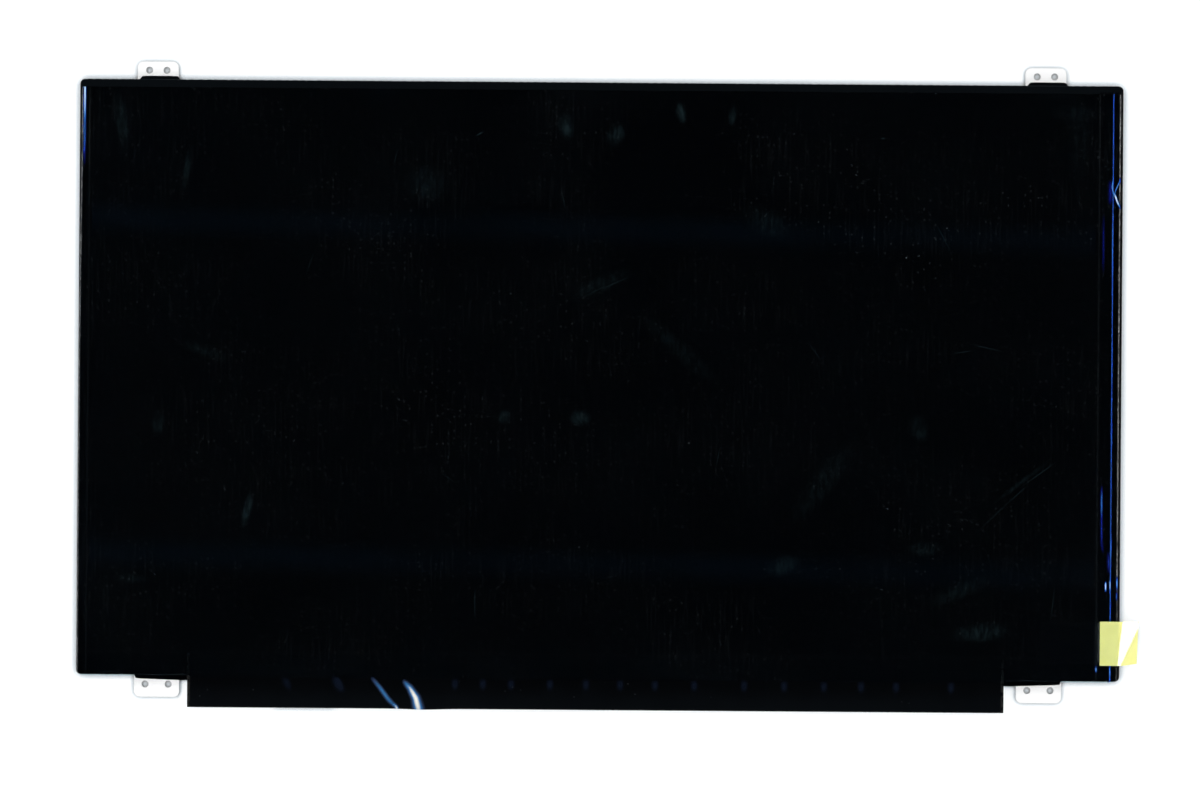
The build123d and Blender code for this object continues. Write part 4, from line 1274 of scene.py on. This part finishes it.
@dataclass
class EdgeTape:
    """One black tape folded round an edge of the panel: a front lip, the side and a rear lip."""

    name: str
    side: Side
    span: Span
    lip_span: Span
    lip: float
    edge: float
    gaps: tuple[Span, ...] = ()
    tails: tuple[Tail, ...] = ()
    raised: tuple[float, Span] = (0.0, (0.0, 0.0))
    step: float = 0.2
    scallop: float = 0.0
    wear: float = 0.3
    bloom: float = 0.0
    bloom_from: float = -1000.0
    corner: float = 1.78
    body: Point = (179.75, 102.6)
    thickness: float = 0.08
    fold: float = 0.1
    front: float = 2.90
    rear: float = 0.17
    ear_front: float = 0.63
    middle: float = 1.6
    rear_lip: float = 1.0
    rear_limit: float = 1000.0

    def rim(self, along: np.ndarray) -> np.ndarray:
        """Distance out of the tape's face, drawn in round the panel's corners and rippled by the fold.

        Args:
            along: places along the edge.

        Returns:
            The distances, of the same shape.
        """
        end = self.body[1] if self.side in (Side.LEFT, Side.RIGHT) else self.body[0]
        into = np.clip(np.abs(along) - (end - self.corner), 0.0, self.corner)
        round_off = self.corner - np.sqrt(np.maximum(self.corner**2 - into**2, 0.0))
        ripple = self.scallop * (0.5 + 0.5 * np.sin(2.0 * math.pi * along / 2.7 + 1.5 * waver(along, 31.0)))
        return self.edge - round_off - ripple

    def arc(self, out: np.ndarray, high: float, start: float, turn: float) -> list[tuple[np.ndarray, np.ndarray]]:
        """Stations round one fold.

        Args:
            out: distance of the side's face at each row.
            high: height of the lip's face.
            start: the first angle, in degrees from the way out.
            turn: the angle that it goes through.

        Returns:
            Pairs of distance out and height, row by row.
        """
        centre = high - self.fold if start > 0 or turn > 0 else high + self.fold
        steps = [math.radians(start + turn * share) for share in (0.0, 0.25, 0.5, 0.75, 1.0)]
        inner = out - self.fold
        return [
            (inner + self.fold * math.cos(a), np.full(out.shape, centre + self.fold * math.sin(a))) for a in steps
        ]

    def skin(self, along: np.ndarray, path: list[tuple[np.ndarray, np.ndarray]], wear: np.ndarray) -> Patch:
        """A sheet whose outer face follows a path at each row.

        Args:
            along: places of the rows along the edge.
            path: distance out and height of each column.
            wear: how rubbed each column is.

        Returns:
            The sheet.
        """
        out = np.stack([p[0] for p in path], 1)
        high = np.stack([p[1] for p in path], 1)
        d_out, d_high = np.gradient(out, axis=1), np.gradient(high, axis=1)
        size = np.maximum(np.hypot(d_out, d_high), 1e-9)
        inner_out = out + self.thickness * d_high / size
        inner_high = high - self.thickness * d_out / size
        rows = np.broadcast_to(along[:, None], out.shape)
        bloom = self.bloom * eased(rows, self.bloom_from, self.bloom_from + 0.3)
        marks = {"wear": np.broadcast_to(wear, out.shape), "bloom": bloom}
        return Patch(self.side.place(rows, out, high), self.side.place(rows, inner_out, inner_high), marks)

    def front_wrap(self) -> Patch:
        """The front lip and the upper side.

        Returns:
            The sheet.
        """
        low, high = self.lip_span
        step = 0.45 if self.scallop else 1.6
        along = stations(*self.span, step, [(c - 0.01, c + 0.01, 0.01) for c in self.lip_span])
        for end, inward in zip(self.span, (self.corner, -self.corner)):
            along = np.union1d(along, np.linspace(*sorted((end, end + inward)), 13))
        out = self.rim(along)
        on = ((along >= low) & (along <= high)).astype(float)
        bare = np.minimum(out - self.fold - 0.03, self.edge - self.corner / 3)
        inner = on * (self.lip + 0.05 * (1.0 + waver(along, 12.0, 0.6))) + (1.0 - on) * bare
        inner = np.minimum(inner, out - self.fold - 0.02)
        step_at, step_span = self.raised
        path = []
        for share in np.linspace(0.0, 1.0, 22):
            place = inner + (out - self.fold - inner) * share
            lift = self.step * eased(place, step_at + 0.1, step_at - 0.06) if step_at else np.zeros(place.shape)
            lift = lift * eased(along, step_span[0] - 0.1, step_span[0])
            lift = lift * eased(along, step_span[1] + 0.1, step_span[1])
            path.append((place, self.front + lift))
        path.extend(self.arc(out, self.front, 90.0, -90.0)[1:])
        path.extend((out, np.full(out.shape, z)) for z in (2.2, self.middle))
        rubbed = np.array([0.0] * 20 + [0.25, 0.7] + [1.0, 1.0, 0.8, 0.3] + [0.1, 0.0])
        fade = self.wear * (0.55 + 0.45 * waver(along, 29.0, 1.1))
        return self.skin(along, path, np.clip(fade, 0, 1)[:, None] * rubbed[None, :])

    def rear_wrap(self, low: float, high: float) -> Patch:
        """The lower side and the rear lip between two places along the edge.

        Args:
            low: where it starts.
            high: where it ends.

        Returns:
            The sheet.
        """
        limit = self.rear_limit
        zones = [(low, low + self.corner, 0.11), (high - self.corner, high, 0.11)]
        zones.extend((c - 0.02, c + 0.02, 0.02) for c in (-limit, limit) if low < c < high)
        along = stations(low, high, 2.5, zones)
        out = self.rim(along)
        path = [(out, np.full(out.shape, z)) for z in (self.middle, 1.0, self.rear + self.fold)]
        path.extend(self.arc(out, self.rear, 0.0, -90.0)[1:])
        lip = np.where(np.abs(along) <= self.rear_limit, self.rear_lip, 0.06)
        path.extend((out - self.fold - lip * s, np.full(out.shape, self.rear)) for s in (0.3, 0.65, 1.0))
        return self.skin(along, path, np.zeros((len(along), len(path))))

    def tail(self, shape: Tail) -> Patch:
        """One end folded out on an ear.

        Args:
            shape: where it lies.

        Returns:
            The sheet.
        """
        stops = [(0.0, self.middle), (0.0, 0.74), (0.02, 0.65)] + [(s, self.ear_front) for s in (0.06, 0.5, 1.0)]
        share = np.linspace(0.0, 1.0, 13)
        reach = shape.reach[0] + (shape.reach[1] - shape.reach[0]) * share
        rounded = 0.12 * (np.abs(2.0 * share - 1.0) ** 12)
        out = np.stack([self.edge + (reach - rounded) * s for s, _ in stops], 0)
        high = np.stack([np.full(share.shape, z) for _, z in stops], 0)
        ends = [np.array(shape.near) + (np.array(shape.far) - np.array(shape.near)) * s for s, _ in stops]
        along = np.stack([low + (up - low) * share for low, up in ends], 0)
        d_out, d_high = np.gradient(out, axis=0), np.gradient(high, axis=0)
        size = np.maximum(np.hypot(d_out, d_high), 1e-9)
        under = self.side.place(along, out + self.thickness * d_high / size, high - self.thickness * d_out / size)
        return Patch(self.side.place(along, out, high), under, {"bloom": np.full(out.shape, self.bloom)})

    def build(self, finish: Material) -> Piece:
        """Makes the tape.

        Args:
            finish: its material.

        Returns:
            The tape's object.
        """
        cuts = [self.span[0], *(limit for gap in self.gaps for limit in gap), self.span[1]]
        patches = [self.front_wrap(), *(self.rear_wrap(a, b) for a, b in zip(cuts[::2], cuts[1::2]))]
        patches.extend(self.tail(shape) for shape in self.tails)
        piece = sheet_piece("black_" + self.name, patches, 60.0)
        return settle(piece, "black_tape", [finish], self.name)


def edge_tapes() -> tuple[EdgeTape, ...]:
    """The five tapes round the panel.

    Returns:
        The tapes, from the top round to the bottom.
    """
    top_gaps = ((-160.75, -145.45), (145.45, 160.75))
    top_tails = tuple(Tail((x - 7.1, x + 7.1), (x - 6.1, x + 6.1), (1.25, 1.25)) for x in (-152.4, 153.8))
    corner, arc, tape_end, bloom = 179.23, 177.9, 171.75, 0.011
    wide_rear = {"rear_lip": 4.1, "rear_limit": 100.4}
    return (
        EdgeTape(
            "edge_tape_top",
            Side.TOP,
            (-corner, arc),
            (-corner, tape_end),
            99.82,
            102.6,
            top_gaps,
            top_tails,
            scallop=0.06,
            wear=0.12,
            bloom=bloom,
        ),
        EdgeTape(
            "edge_tape_left",
            Side.LEFT,
            (-102.09, 102.09),
            (-95.09, 99.9),
            176.32,
            179.75,
            wear=0.35,
            front=2.895,
            **wide_rear,
        ),
        EdgeTape(
            "edge_tape_right",
            Side.RIGHT,
            (-102.6, 102.6),
            (-102.6, 102.6),
            171.62,
            179.75,
            raised=(176.4, (-94.94, 99.8)),
            wear=0.5,
            bloom=bloom,
            bloom_from=99.6,
            front=2.906,
            **wide_rear,
        ),
        EdgeTape(
            "edge_tape_bottom_left",
            Side.BOTTOM,
            (-corner, -141.46),
            (-corner, -141.46),
            95.09,
            102.6,
            ((-160.5, -143.7),),
            (Tail((-159.9, -141.46), (-159.3, -141.46), (1.4, 2.0)),),
            wear=0.15,
        ),
        EdgeTape(
            "edge_tape_bottom_right",
            Side.BOTTOM,
            (139.96, arc),
            (139.96, tape_end),
            95.09,
            102.6,
            ((143.7, 160.5),),
            (Tail((139.96, 159.9), (139.96, 159.3), (2.0, 1.4)),),
            wear=0.15,
        ),
    )


@dataclass
class CoverFilm:
    """Black film over the board strip: draped over what lies below and buckled in two places, with painted highlights
    on its buckles and dents and a painted sheen towards its bottom edge.
    """

    left: float = -141.45
    right: float = 139.95
    bottom: float = -114.0
    top: float = -95.09
    thickness: float = 0.08
    base: float = 2.43
    films: float = 0.05
    step: Span = (-104.9, -104.5)
    glass: float = 0.35
    ramp: Span = (-97.6, -95.9)
    crown: float = 0.1
    dents: tuple[float, ...] = (
        *(-49.1, -39.5, -29.8, -16.4, -4.0, 7.8, 19.8),
        *(33.3, 50.5, 64.3, 78.0, 90.8, 102.9, 121.8),
    )
    dent_y: float = -105.0
    dent_tall: Span = (0.13, 0.05)
    glint: float = 0.008
    loose: Span = (-97.0, -101.0)
    sag: float = 0.03
    drawn_in: float = 0.28
    wear: float = 0.3
    # Painted sheen: the film is made lighter towards its bottom edge, where it bends.
    bloom: float = 0.007
    # Buckles and two faint creases; each one's haze paints a highlight along it.
    buckles: tuple[Crease, ...] = (
        Crease(
            ((-78.2, -102.6), (-75.0, -106.4), (-72.2, -110.2), (-69.3, -113.4), (-68.9, -115.0)),
            0.3,
            0.38,
            lean=1.2,
            flare=1.2,
            haze=0.36,
        ),
        Crease(((-71.2, -111.4), (-69.2, -113.4), (-68.6, -117.4)), 0.2, 0.36, haze=0.75),
        Crease(
            ((-67.2, -103.8), (-64.6, -106.6), (-62.6, -110.0), (-61.6, -114.0), (-61.6, -118.0)),
            0.4,
            0.45,
            flare=3.0,
            haze=0.95,
        ),
        Crease(((-108.8, -101.5), (-105.0, -108.6)), 0.16, 1.2, 1.5, haze=0.006),
        Crease(((-91.4, -101.0), (-87.0, -109.0)), 0.2, 1.2, 1.5, haze=0.01),
    )

    def low(self, x: np.ndarray, y: np.ndarray) -> np.ndarray:
        """Height of the film's rear face at each place.

        Args:
            x: places across.
            y: places up.

        Returns:
            The heights, of the same shape.
        """
        z = self.base + self.films * eased(y, *self.step) + self.glass * eased(y, *self.ramp)
        z += self.crown * np.sin(math.pi * np.clip((y - self.bottom) / (self.ramp[0] - self.bottom), 0.0, 1.0)) ** 0.8
        z += self.sag * (1.0 + waver(x, 57.0, 0.5)) * bell(y, -107.0, 4.0)
        loose = eased(y, *self.loose)
        for number, place in enumerate(self.dents):
            tall = self.dent_tall[0] + self.dent_tall[1] * math.sin(2.4 * number)
            z += loose * tall * bell(x, place, 0.75) * bell(y, self.dent_y, 2.0)
        for buckle in self.buckles:
            z += loose * buckle.lift(x, y)
        return z

    def build(self, finish: Material) -> Piece:
        """Makes the film.

        Args:
            finish: its material.

        Returns:
            The film's object.
        """
        near = [(place - 2.4, place + 2.4, 0.4) for place in self.dents]
        x, y = np.meshgrid(
            stations(self.left, self.right, 1.2, [*near, (-112.0, -84.0, 0.45), (-84.0, -54.0, 0.25)]),
            stations(self.bottom, self.top, 0.6, [(self.bottom, self.bottom + 1.0, 0.2)]),
        )
        drawn_in = self.drawn_in * (1.0 - bell(x, -60.0, 5.0)) * eased(y, self.bottom + 3.0, self.bottom)
        front, rear = layered(x, y + drawn_in, self.low(x, y), self.thickness)
        rim = np.minimum(np.minimum(y - self.bottom, x - self.left), self.right - x)
        wear = self.wear * (1.0 - eased(rim, 0.0, 0.45))
        # Painted sheen towards the bent bottom edge.
        bloom = self.bloom * eased(y, -103.0, self.bottom)
        # Painted highlights along the buckles, and painted glints on the dents.
        fold = np.max([buckle.haze * buckle.trace(x, y) ** 2 for buckle in self.buckles], axis=0)
        fold += sum(self.glint * bell(x, place, 0.9) for place in self.dents) * bell(y, self.dent_y, 1.5)
        marks = {"wear": wear, "bloom": bloom, "fold": np.clip(fold, 0, 1)}
        piece = sheet_piece("black_cover_film", [Patch(front, rear, marks)])
        return settle(piece, "black_tape", [finish], "board_cover_film")


class RowTree:
    """Geometry Nodes tree that sets copies of a part in groups of even steps."""

    INPUTS = (
        ("Count", "NodeSocketInt"),
        ("Step", "NodeSocketVector"),
        ("Groups", "NodeSocketInt"),
        ("Group Step", "NodeSocketVector"),
        ("Start", "NodeSocketVector"),
        ("Part", "NodeSocketObject"),
        ("Finish", "NodeSocketMaterial"),
    )

    def __init__(self) -> None:
        """Builds the tree once, for every row to share."""
        tree = bpy.data.node_groups.new("row_of_parts", "GeometryNodeTree")
        self.tree = tree
        tree.interface.new_socket("Geometry", in_out="OUTPUT", socket_type="NodeSocketGeometry")
        self.keys = {}
        for name, kind in self.INPUTS:
            self.keys[name] = tree.interface.new_socket(name, in_out="INPUT", socket_type=kind).identifier
        given = tree.nodes.new("NodeGroupInput")
        groups, row = (tree.nodes.new("GeometryNodeMeshLine") for _ in range(2))
        spread, copies = (tree.nodes.new("GeometryNodeInstanceOnPoints") for _ in range(2))
        places, solid = (tree.nodes.new("GeometryNodeRealizeInstances") for _ in range(2))
        moved = tree.nodes.new("GeometryNodeSetPosition")
        part = tree.nodes.new("GeometryNodeObjectInfo")
        dressed = tree.nodes.new("GeometryNodeSetMaterial")
        made = tree.nodes.new("NodeGroupOutput")
        for source, target in (
            (given.outputs["Groups"], groups.inputs["Count"]),
            (given.outputs["Group Step"], groups.inputs["Offset"]),
            (given.outputs["Count"], row.inputs["Count"]),
            (given.outputs["Step"], row.inputs["Offset"]),
            (groups.outputs["Mesh"], spread.inputs["Points"]),
            (row.outputs["Mesh"], spread.inputs["Instance"]),
            (spread.outputs["Instances"], places.inputs["Geometry"]),
            (places.outputs["Geometry"], moved.inputs["Geometry"]),
            (given.outputs["Start"], moved.inputs["Offset"]),
            (moved.outputs["Geometry"], copies.inputs["Points"]),
            (given.outputs["Part"], part.inputs["Object"]),
            (part.outputs["Geometry"], copies.inputs["Instance"]),
            (copies.outputs["Instances"], solid.inputs["Geometry"]),
            (solid.outputs["Geometry"], dressed.inputs["Geometry"]),
            (given.outputs["Finish"], dressed.inputs["Material"]),
            (dressed.outputs["Geometry"], made.inputs["Geometry"]),
        ):
            tree.links.new(source, target)

    def run(self, name: str, part: Piece, finish: Material, **sizes: object) -> Piece:
        """Makes one piece with the tree and turns it into a plain mesh.

        Args:
            name: the piece's name.
            part: the shape to repeat; it is removed afterwards.
            finish: the material.
            sizes: the tree's other inputs, in lower case with underscores; lengths in millimetres.

        Returns:
            The piece's object.
        """
        holder = bpy.data.objects.new(name, bpy.data.meshes.new(name))
        bpy.context.scene.collection.objects.link(holder)
        modifier = holder.modifiers.new("row", "NODES")
        modifier.node_group = self.tree
        modifier[self.keys["Part"]] = part
        modifier[self.keys["Finish"]] = finish
        for key, value in sizes.items():
            scaled = value if isinstance(value, int) else [v * MM for v in value]
            modifier[self.keys[key.replace("_", " ").title()]] = scaled
        ready = holder.evaluated_get(bpy.context.evaluated_depsgraph_get())
        mesh = bpy.data.meshes.new_from_object(ready)
        holder.modifiers.remove(modifier)
        holder.data = mesh
        mesh.name = name
        bpy.data.objects.remove(part)
        return holder


def soft_box(size: Sequence[float], bevel: float, at: Sequence[Sequence[float]]) -> Piece:
    """One or more boxes with softened edges, as a loose part for a row.

    Args:
        size: width, depth and height, in millimetres.
        bevel: how far the edges are taken off.
        at: the boxes' middles.

    Returns:
        The part's object.
    """
    bm = bmesh.new()
    for place in at:
        made = bmesh.ops.create_cube(bm, size=1.0)["verts"]
        for vert in made:
            vert.co = Vector([(c * s + p) * MM for c, s, p in zip(vert.co, size, place)])
    bmesh.ops.bevel(bm, geom=list(bm.edges), offset=bevel * MM, segments=1, affect="EDGES")
    return loose_part(bm)


def loose_part(bm: bmesh.types.BMesh) -> Piece:
    """Turns a bmesh into an object that a row repeats.

    Args:
        bm: the shape; it is freed.

    Returns:
        The part's object.
    """
    mesh = bpy.data.meshes.new("part")
    bm.to_mesh(mesh)
    bm.free()
    part = bpy.data.objects.new("part", mesh)
    bpy.context.scene.collection.objects.link(part)
    return part


@dataclass
class BoardRows:
    """What repeats on the control board's rear: chip capacitors and resistors, and test pads."""

    rear: float = 1.82
    row_y: float = -104.7
    groups: int = 4
    group_step: float = 70.175
    first_group: float = -106.0125
    pitch: float = 4.4
    capacitor: tuple[float, float, float] = (1.6, 0.8, 0.8)
    resistor: tuple[float, float, float] = (1.0, 0.5, 0.35)
    terminal: float = 0.3
    proud: float = 0.03
    pad: tuple[float, float, float] = (1.1, 1.1, 0.03)
    pad_start: Point = (20.0, -112.4)
    pad_step: float = 2.1
    pad_group_step: float = 70.0
    pads: int = 14

    def passives(
        self,
        rows: RowTree,
        name: str,
        size: tuple[float, float, float],
        count: int,
        body: Material,
        solder: Material,
    ) -> None:
        """One kind of part, as bodies that replace the CAD node and as soldered ends.

        Args:
            rows: the row tree.
            name: the CAD node.
            size: length, width and height of a part.
            count: parts in a group.
            body: finish of the bodies.
            solder: finish of the ends.
        """
        length, width, height = size
        even = dict(count=count, step=(self.pitch, 0, 0), groups=self.groups, group_step=(self.group_step, 0, 0))
        start = (self.first_group - self.pitch * (count - 1) / 2, self.row_y, self.rear)
        inner = (length - 2 * self.terminal, width - 2 * self.proud, height - self.proud)
        part = soft_box(inner, 0.03, ((0.0, 0.0, -inner[2] / 2),))
        bodies = rows.run(name + "_bodies", part, body, start=start, **even)
        settle(bodies, "ceramic", [body], name)
        ends = tuple((e * (length - self.terminal) / 2, 0.0, -height / 2) for e in (-1, 1))
        part = soft_box((self.terminal, width, height), 0.05, ends)
        settle(rows.run(name + "_ends", part, solder, start=start, **even), "plated_metal", [solder])

    def build(self, rows: RowTree, finishes: dict[str, Material]) -> None:
        """Makes the rows.

        Args:
            rows: the row tree.
            finishes: the finishes by slot.
        """
        solder = finishes["plated_metal"]
        self.passives(rows, "board_capacitors", self.capacitor, 5, finishes["ceramic"], solder)
        self.passives(rows, "board_resistors", self.resistor, 4, finishes["chip_black"], solder)
        part = soft_box(self.pad, 0.01, ((0.0, 0.0, -self.pad[2] / 2),))
        pads = rows.run(
            "board_test_pads",
            part,
            finishes["gold_contact"],
            count=self.pads,
            step=(self.pad_step, 0, 0),
            groups=2,
            group_step=(self.pad_group_step, 0, 0),
            start=(*self.pad_start, self.rear),
        )
        settle(pads, "gold_contact", [finishes["gold_contact"]])


@dataclass
class Studio:
    """Floor, lamps, surrounding light and the camera that looks straight down on the face."""

    aim: Point = (0.13, -8.2)
    view_width: float = 413.5
    turn: float = 0.43
    lens: float = 200.0
    sensor: float = 36.0
    face: float = 3.0
    floor_size: float = 6.0
    floor_gap: float = 0.4
    floor_colour: Colour = (0.42, 0.42, 0.42)
    floor_light: Colour = (0.96, 0.985, 1.0)
    floor_glow: float = 0.72
    contact: float = 2.5
    contact_range: Span = (0.49, 0.95)
    shade: Colour = (0.5, 0.78, 1.0)
    side_lamp: tuple[float, float, float] = (0.76, 0.0, 0.72)
    side_size: Point = (1.8, 0.2)
    left_power: float = 9.7
    right_power: float = 7.95
    end_lamp: tuple[float, float, float] = (0.0, 1.0, 0.8)
    end_size: Point = (0.8, 0.3)
    end_power: float = 2.6
    end_colour: Colour = (1.0, 0.99, 0.97)
    horizon: Colour = (0.95, 0.98, 1.0)
    overhead: Colour = (0.003, 0.004, 0.006)
    darkening: Span = (0.3, 0.72)

    def camera(self) -> None:
        """Sets the camera over the panel, turned as the picture is."""
        data = bpy.data.cameras.new("camera")
        data.lens = self.lens
        data.sensor_fit = "HORIZONTAL"
        data.sensor_width = self.sensor
        data.dof.use_dof = False
        data.clip_start, data.clip_end = 0.05, 50.0
        high = self.view_width * self.lens / self.sensor + self.face
        camera = bpy.data.objects.new("camera", data)
        camera.location = (self.aim[0] * MM, self.aim[1] * MM, high * MM)
        camera.rotation_euler = (0.0, 0.0, math.radians(self.turn))
        bpy.context.scene.collection.objects.link(camera)
        bpy.context.scene.camera = camera

    def lamp(self, name: str, at: Sequence[float], size: Point, power: float, colour: Colour) -> None:
        """One soft lamp that looks at the panel's middle.

        Args:
            name: the lamp's name.
            at: its place, in metres.
            size: its width and height, in metres.
            power: its power, in watts.
            colour: its colour.
        """
        data = bpy.data.lights.new(name, "AREA")
        data.shape = "RECTANGLE"
        data.size, data.size_y = size
        data.energy = power
        data.color = colour
        lamp = bpy.data.objects.new(name, data)
        lamp.location = at
        lamp.rotation_euler = (-Vector(at)).to_track_quat("-Z", "Y").to_euler()
        bpy.context.scene.collection.objects.link(lamp)

    def lamps(self) -> None:
        """A lamp at each side, and weaker ones at the two ends."""
        x, y, z = self.side_lamp
        self.lamp("lamp_right", (x, y, z), self.side_size, self.right_power, (1.0, 1.0, 1.0))
        self.lamp("lamp_left", (-x, y, z), self.side_size, self.left_power, (1.0, 1.0, 1.0))
        x, y, z = self.end_lamp
        self.lamp("lamp_top", (x, y, z), self.end_size, self.end_power, self.end_colour)
        self.lamp("lamp_bottom", (x, -y, z), self.end_size, self.end_power, self.end_colour)

    def surroundings(self) -> None:
        """White all round near the horizon and dark overhead, so that gloss seen from above stays black."""
        world = bpy.data.worlds.new("surroundings")
        bpy.context.scene.world = world
        world.use_nodes = True
        tree = world.node_tree
        back = tree.nodes["Background"]
        place = tree.nodes.new("ShaderNodeTexCoord")
        split = tree.nodes.new("ShaderNodeSeparateXYZ")
        rise = tree.nodes.new("ShaderNodeMapRange")
        rise.interpolation_type = "SMOOTHSTEP"
        mix = tree.nodes.new("ShaderNodeMix")
        mix.data_type = "RGBA"
        tree.links.new(place.outputs["Generated"], split.inputs[0])
        tree.links.new(split.outputs["Z"], rise.inputs["Value"])
        rise.inputs["From Min"].default_value, rise.inputs["From Max"].default_value = self.darkening
        tree.links.new(rise.outputs["Result"], mix.inputs[0])
        mix.inputs[6].default_value = (*self.horizon, 1.0)
        mix.inputs[7].default_value = (*self.overhead, 1.0)
        tree.links.new(mix.outputs[2], back.inputs["Color"])
        back.inputs["Strength"].default_value = 1.0

    def floor(self) -> None:
        """A white floor that keeps the panel's shadow and darkens close to it."""
        half = self.floor_size / 2
        mesh = bpy.data.meshes.new("floor")
        low = -self.floor_gap * MM
        corners = ((-1, -1), (1, -1), (1, 1), (-1, 1))
        mesh.from_pydata([(half * x, half * y, low) for x, y in corners], [], [(0, 1, 2, 3)])
        floor = bpy.data.objects.new("floor", mesh)
        bpy.context.scene.collection.objects.link(floor)
        d = Draft("white_floor")
        ray = d.tree.nodes.new("ShaderNodeLightPath")
        seen = d.sums("MAXIMUM", ray.outputs["Is Camera Ray"], ray.outputs["Is Glossy Ray"])
        seen = d.sums("MAXIMUM", seen, ray.outputs["Is Transmission Ray"])
        near = d.tree.nodes.new("ShaderNodeAmbientOcclusion")
        near.inputs["Distance"].default_value = self.contact * MM
        near.samples = 4
        open_sky = d.fit(near.outputs["AO"], self.contact_range)
        level = d.sums("MULTIPLY", seen, d.sums("MULTIPLY", open_sky, self.floor_glow))
        d.set(base_color=self.floor_colour, roughness=1.0, specular_ior_level=0.0)
        d.set(emission_color=d.tint(open_sky, self.shade, self.floor_light), emission_strength=level)
        mesh.materials.append(d.material)

    def build(self) -> None:
        """Makes everything round the panel."""
        bpy.context.scene.view_settings.view_transform = "Standard"
        self.camera()
        self.lamps()
        self.surroundings()
        self.floor()


def slot_finishes() -> dict[str, Material]:
    """The finish of each of the record's material slots.

    Returns:
        Materials by slot.
    """
    return {
        "plate_metal": SheetMetal("bare_sheet_metal", (0.985, 0.985, 0.985), 0.12, 0.45).make(),
        "frame_plastic": MouldedPlastic("white_frame_plastic", (0.82, 0.82, 0.8), 0.5).make(),
        "white_sheet": OpticalSheet("white_sheet", (0.86, 0.87, 0.88), 0.5, 0.0).make(),
        "clear_plastic": OpticalSheet("clear_guide", (0.96, 0.97, 0.97), 0.08, 0.9).make(),
        "panel_glass": OpticalSheet("panel_glass", (0.004, 0.007, 0.006), 0.04, 0.25).make(),
        "polariser_film": OpticalSheet("dark_polariser", (0.0004, 0.0005, 0.0007), 0.06, 0.0).make(),
        "black_tape": BlackTape("black_tape", (0.0005, 0.0006, 0.0008), 0.15, shine=0.15).make(),
        "clear_film": ClearFilm("clear_film").make(),
        "tab_yellow": TabFilm("yellow_tab", (0.74, 0.78, 0.28)).make(),
        "board_mask": GreenMask("green_board", (0.006, 0.05, 0.022), (0.016, 0.11, 0.05), (0.75, 0.68, 0.5)).make(),
        "amber_film": AmberFilm("amber_film", (0.33, 0.13, 0.015), (0.42, 0.2, 0.07)).make(),
        "chip_black": MouldedChip("black_chip", (0.013, 0.013, 0.014), (0.04, 0.04, 0.042)).make(),
        "ferrite": MouldedChip("grey_ferrite", (0.045, 0.045, 0.048), (0.1, 0.1, 0.105), 0.45).make(),
        "ceramic": MouldedChip("tan_ceramic", (0.3, 0.2, 0.12), (0.4, 0.29, 0.19), 0.4).make(),
        "connector_plastic": MouldedPlastic("connector_plastic", (0.62, 0.58, 0.48), 0.45).make(),
        "plated_metal": PlatedMetal("plated_metal", (0.82, 0.81, 0.79), 0.3).make(),
        "gold_contact": PlatedMetal("gold_contact", (0.95, 0.74, 0.36), 0.24).make(),
    }


def dress(frame: dict, finishes: dict[str, Material]) -> None:
    """Gives each CAD node that stays the finish of its slot.

    Args:
        finishes: materials by slot.
    """
    for row in frame["record"]["subparts"]:
        node = frame["nodes"][row["node"]]
        node.data.materials.clear()
        node.data.materials.append(finishes[row["material_slot"]])
        log.info("%s: %s", row["node"], row["material_slot"])


def main() -> None:
    """Builds the panel round its frame, then the studio."""
    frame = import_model()
    finishes = slot_finishes()
    dress(frame, finishes)
    for tape in edge_tapes():
        tape.build(finishes["black_tape"])
    CoverFilm().build(BlackTape("black_cover_film", (0.0009, 0.0011, 0.0014), 0.14, shine=0.25).make())
    film = ProtectiveFilm()
    film.build(finishes["clear_film"])
    FilmMarks().build(film, SmudgeHaze("smudge_haze").make())
    PullTape().build(film, ClearFilm("clear_pull_tape", even=0.0005, dust=0.004).make())
    PullTab().build(finishes["tab_yellow"])
    BoardRows().build(RowTree(), finishes)
    Studio().build()


if __name__ == "__main__":
    logging.basicConfig(level=logging.INFO, format="%(name)s: %(message)s")
    main()
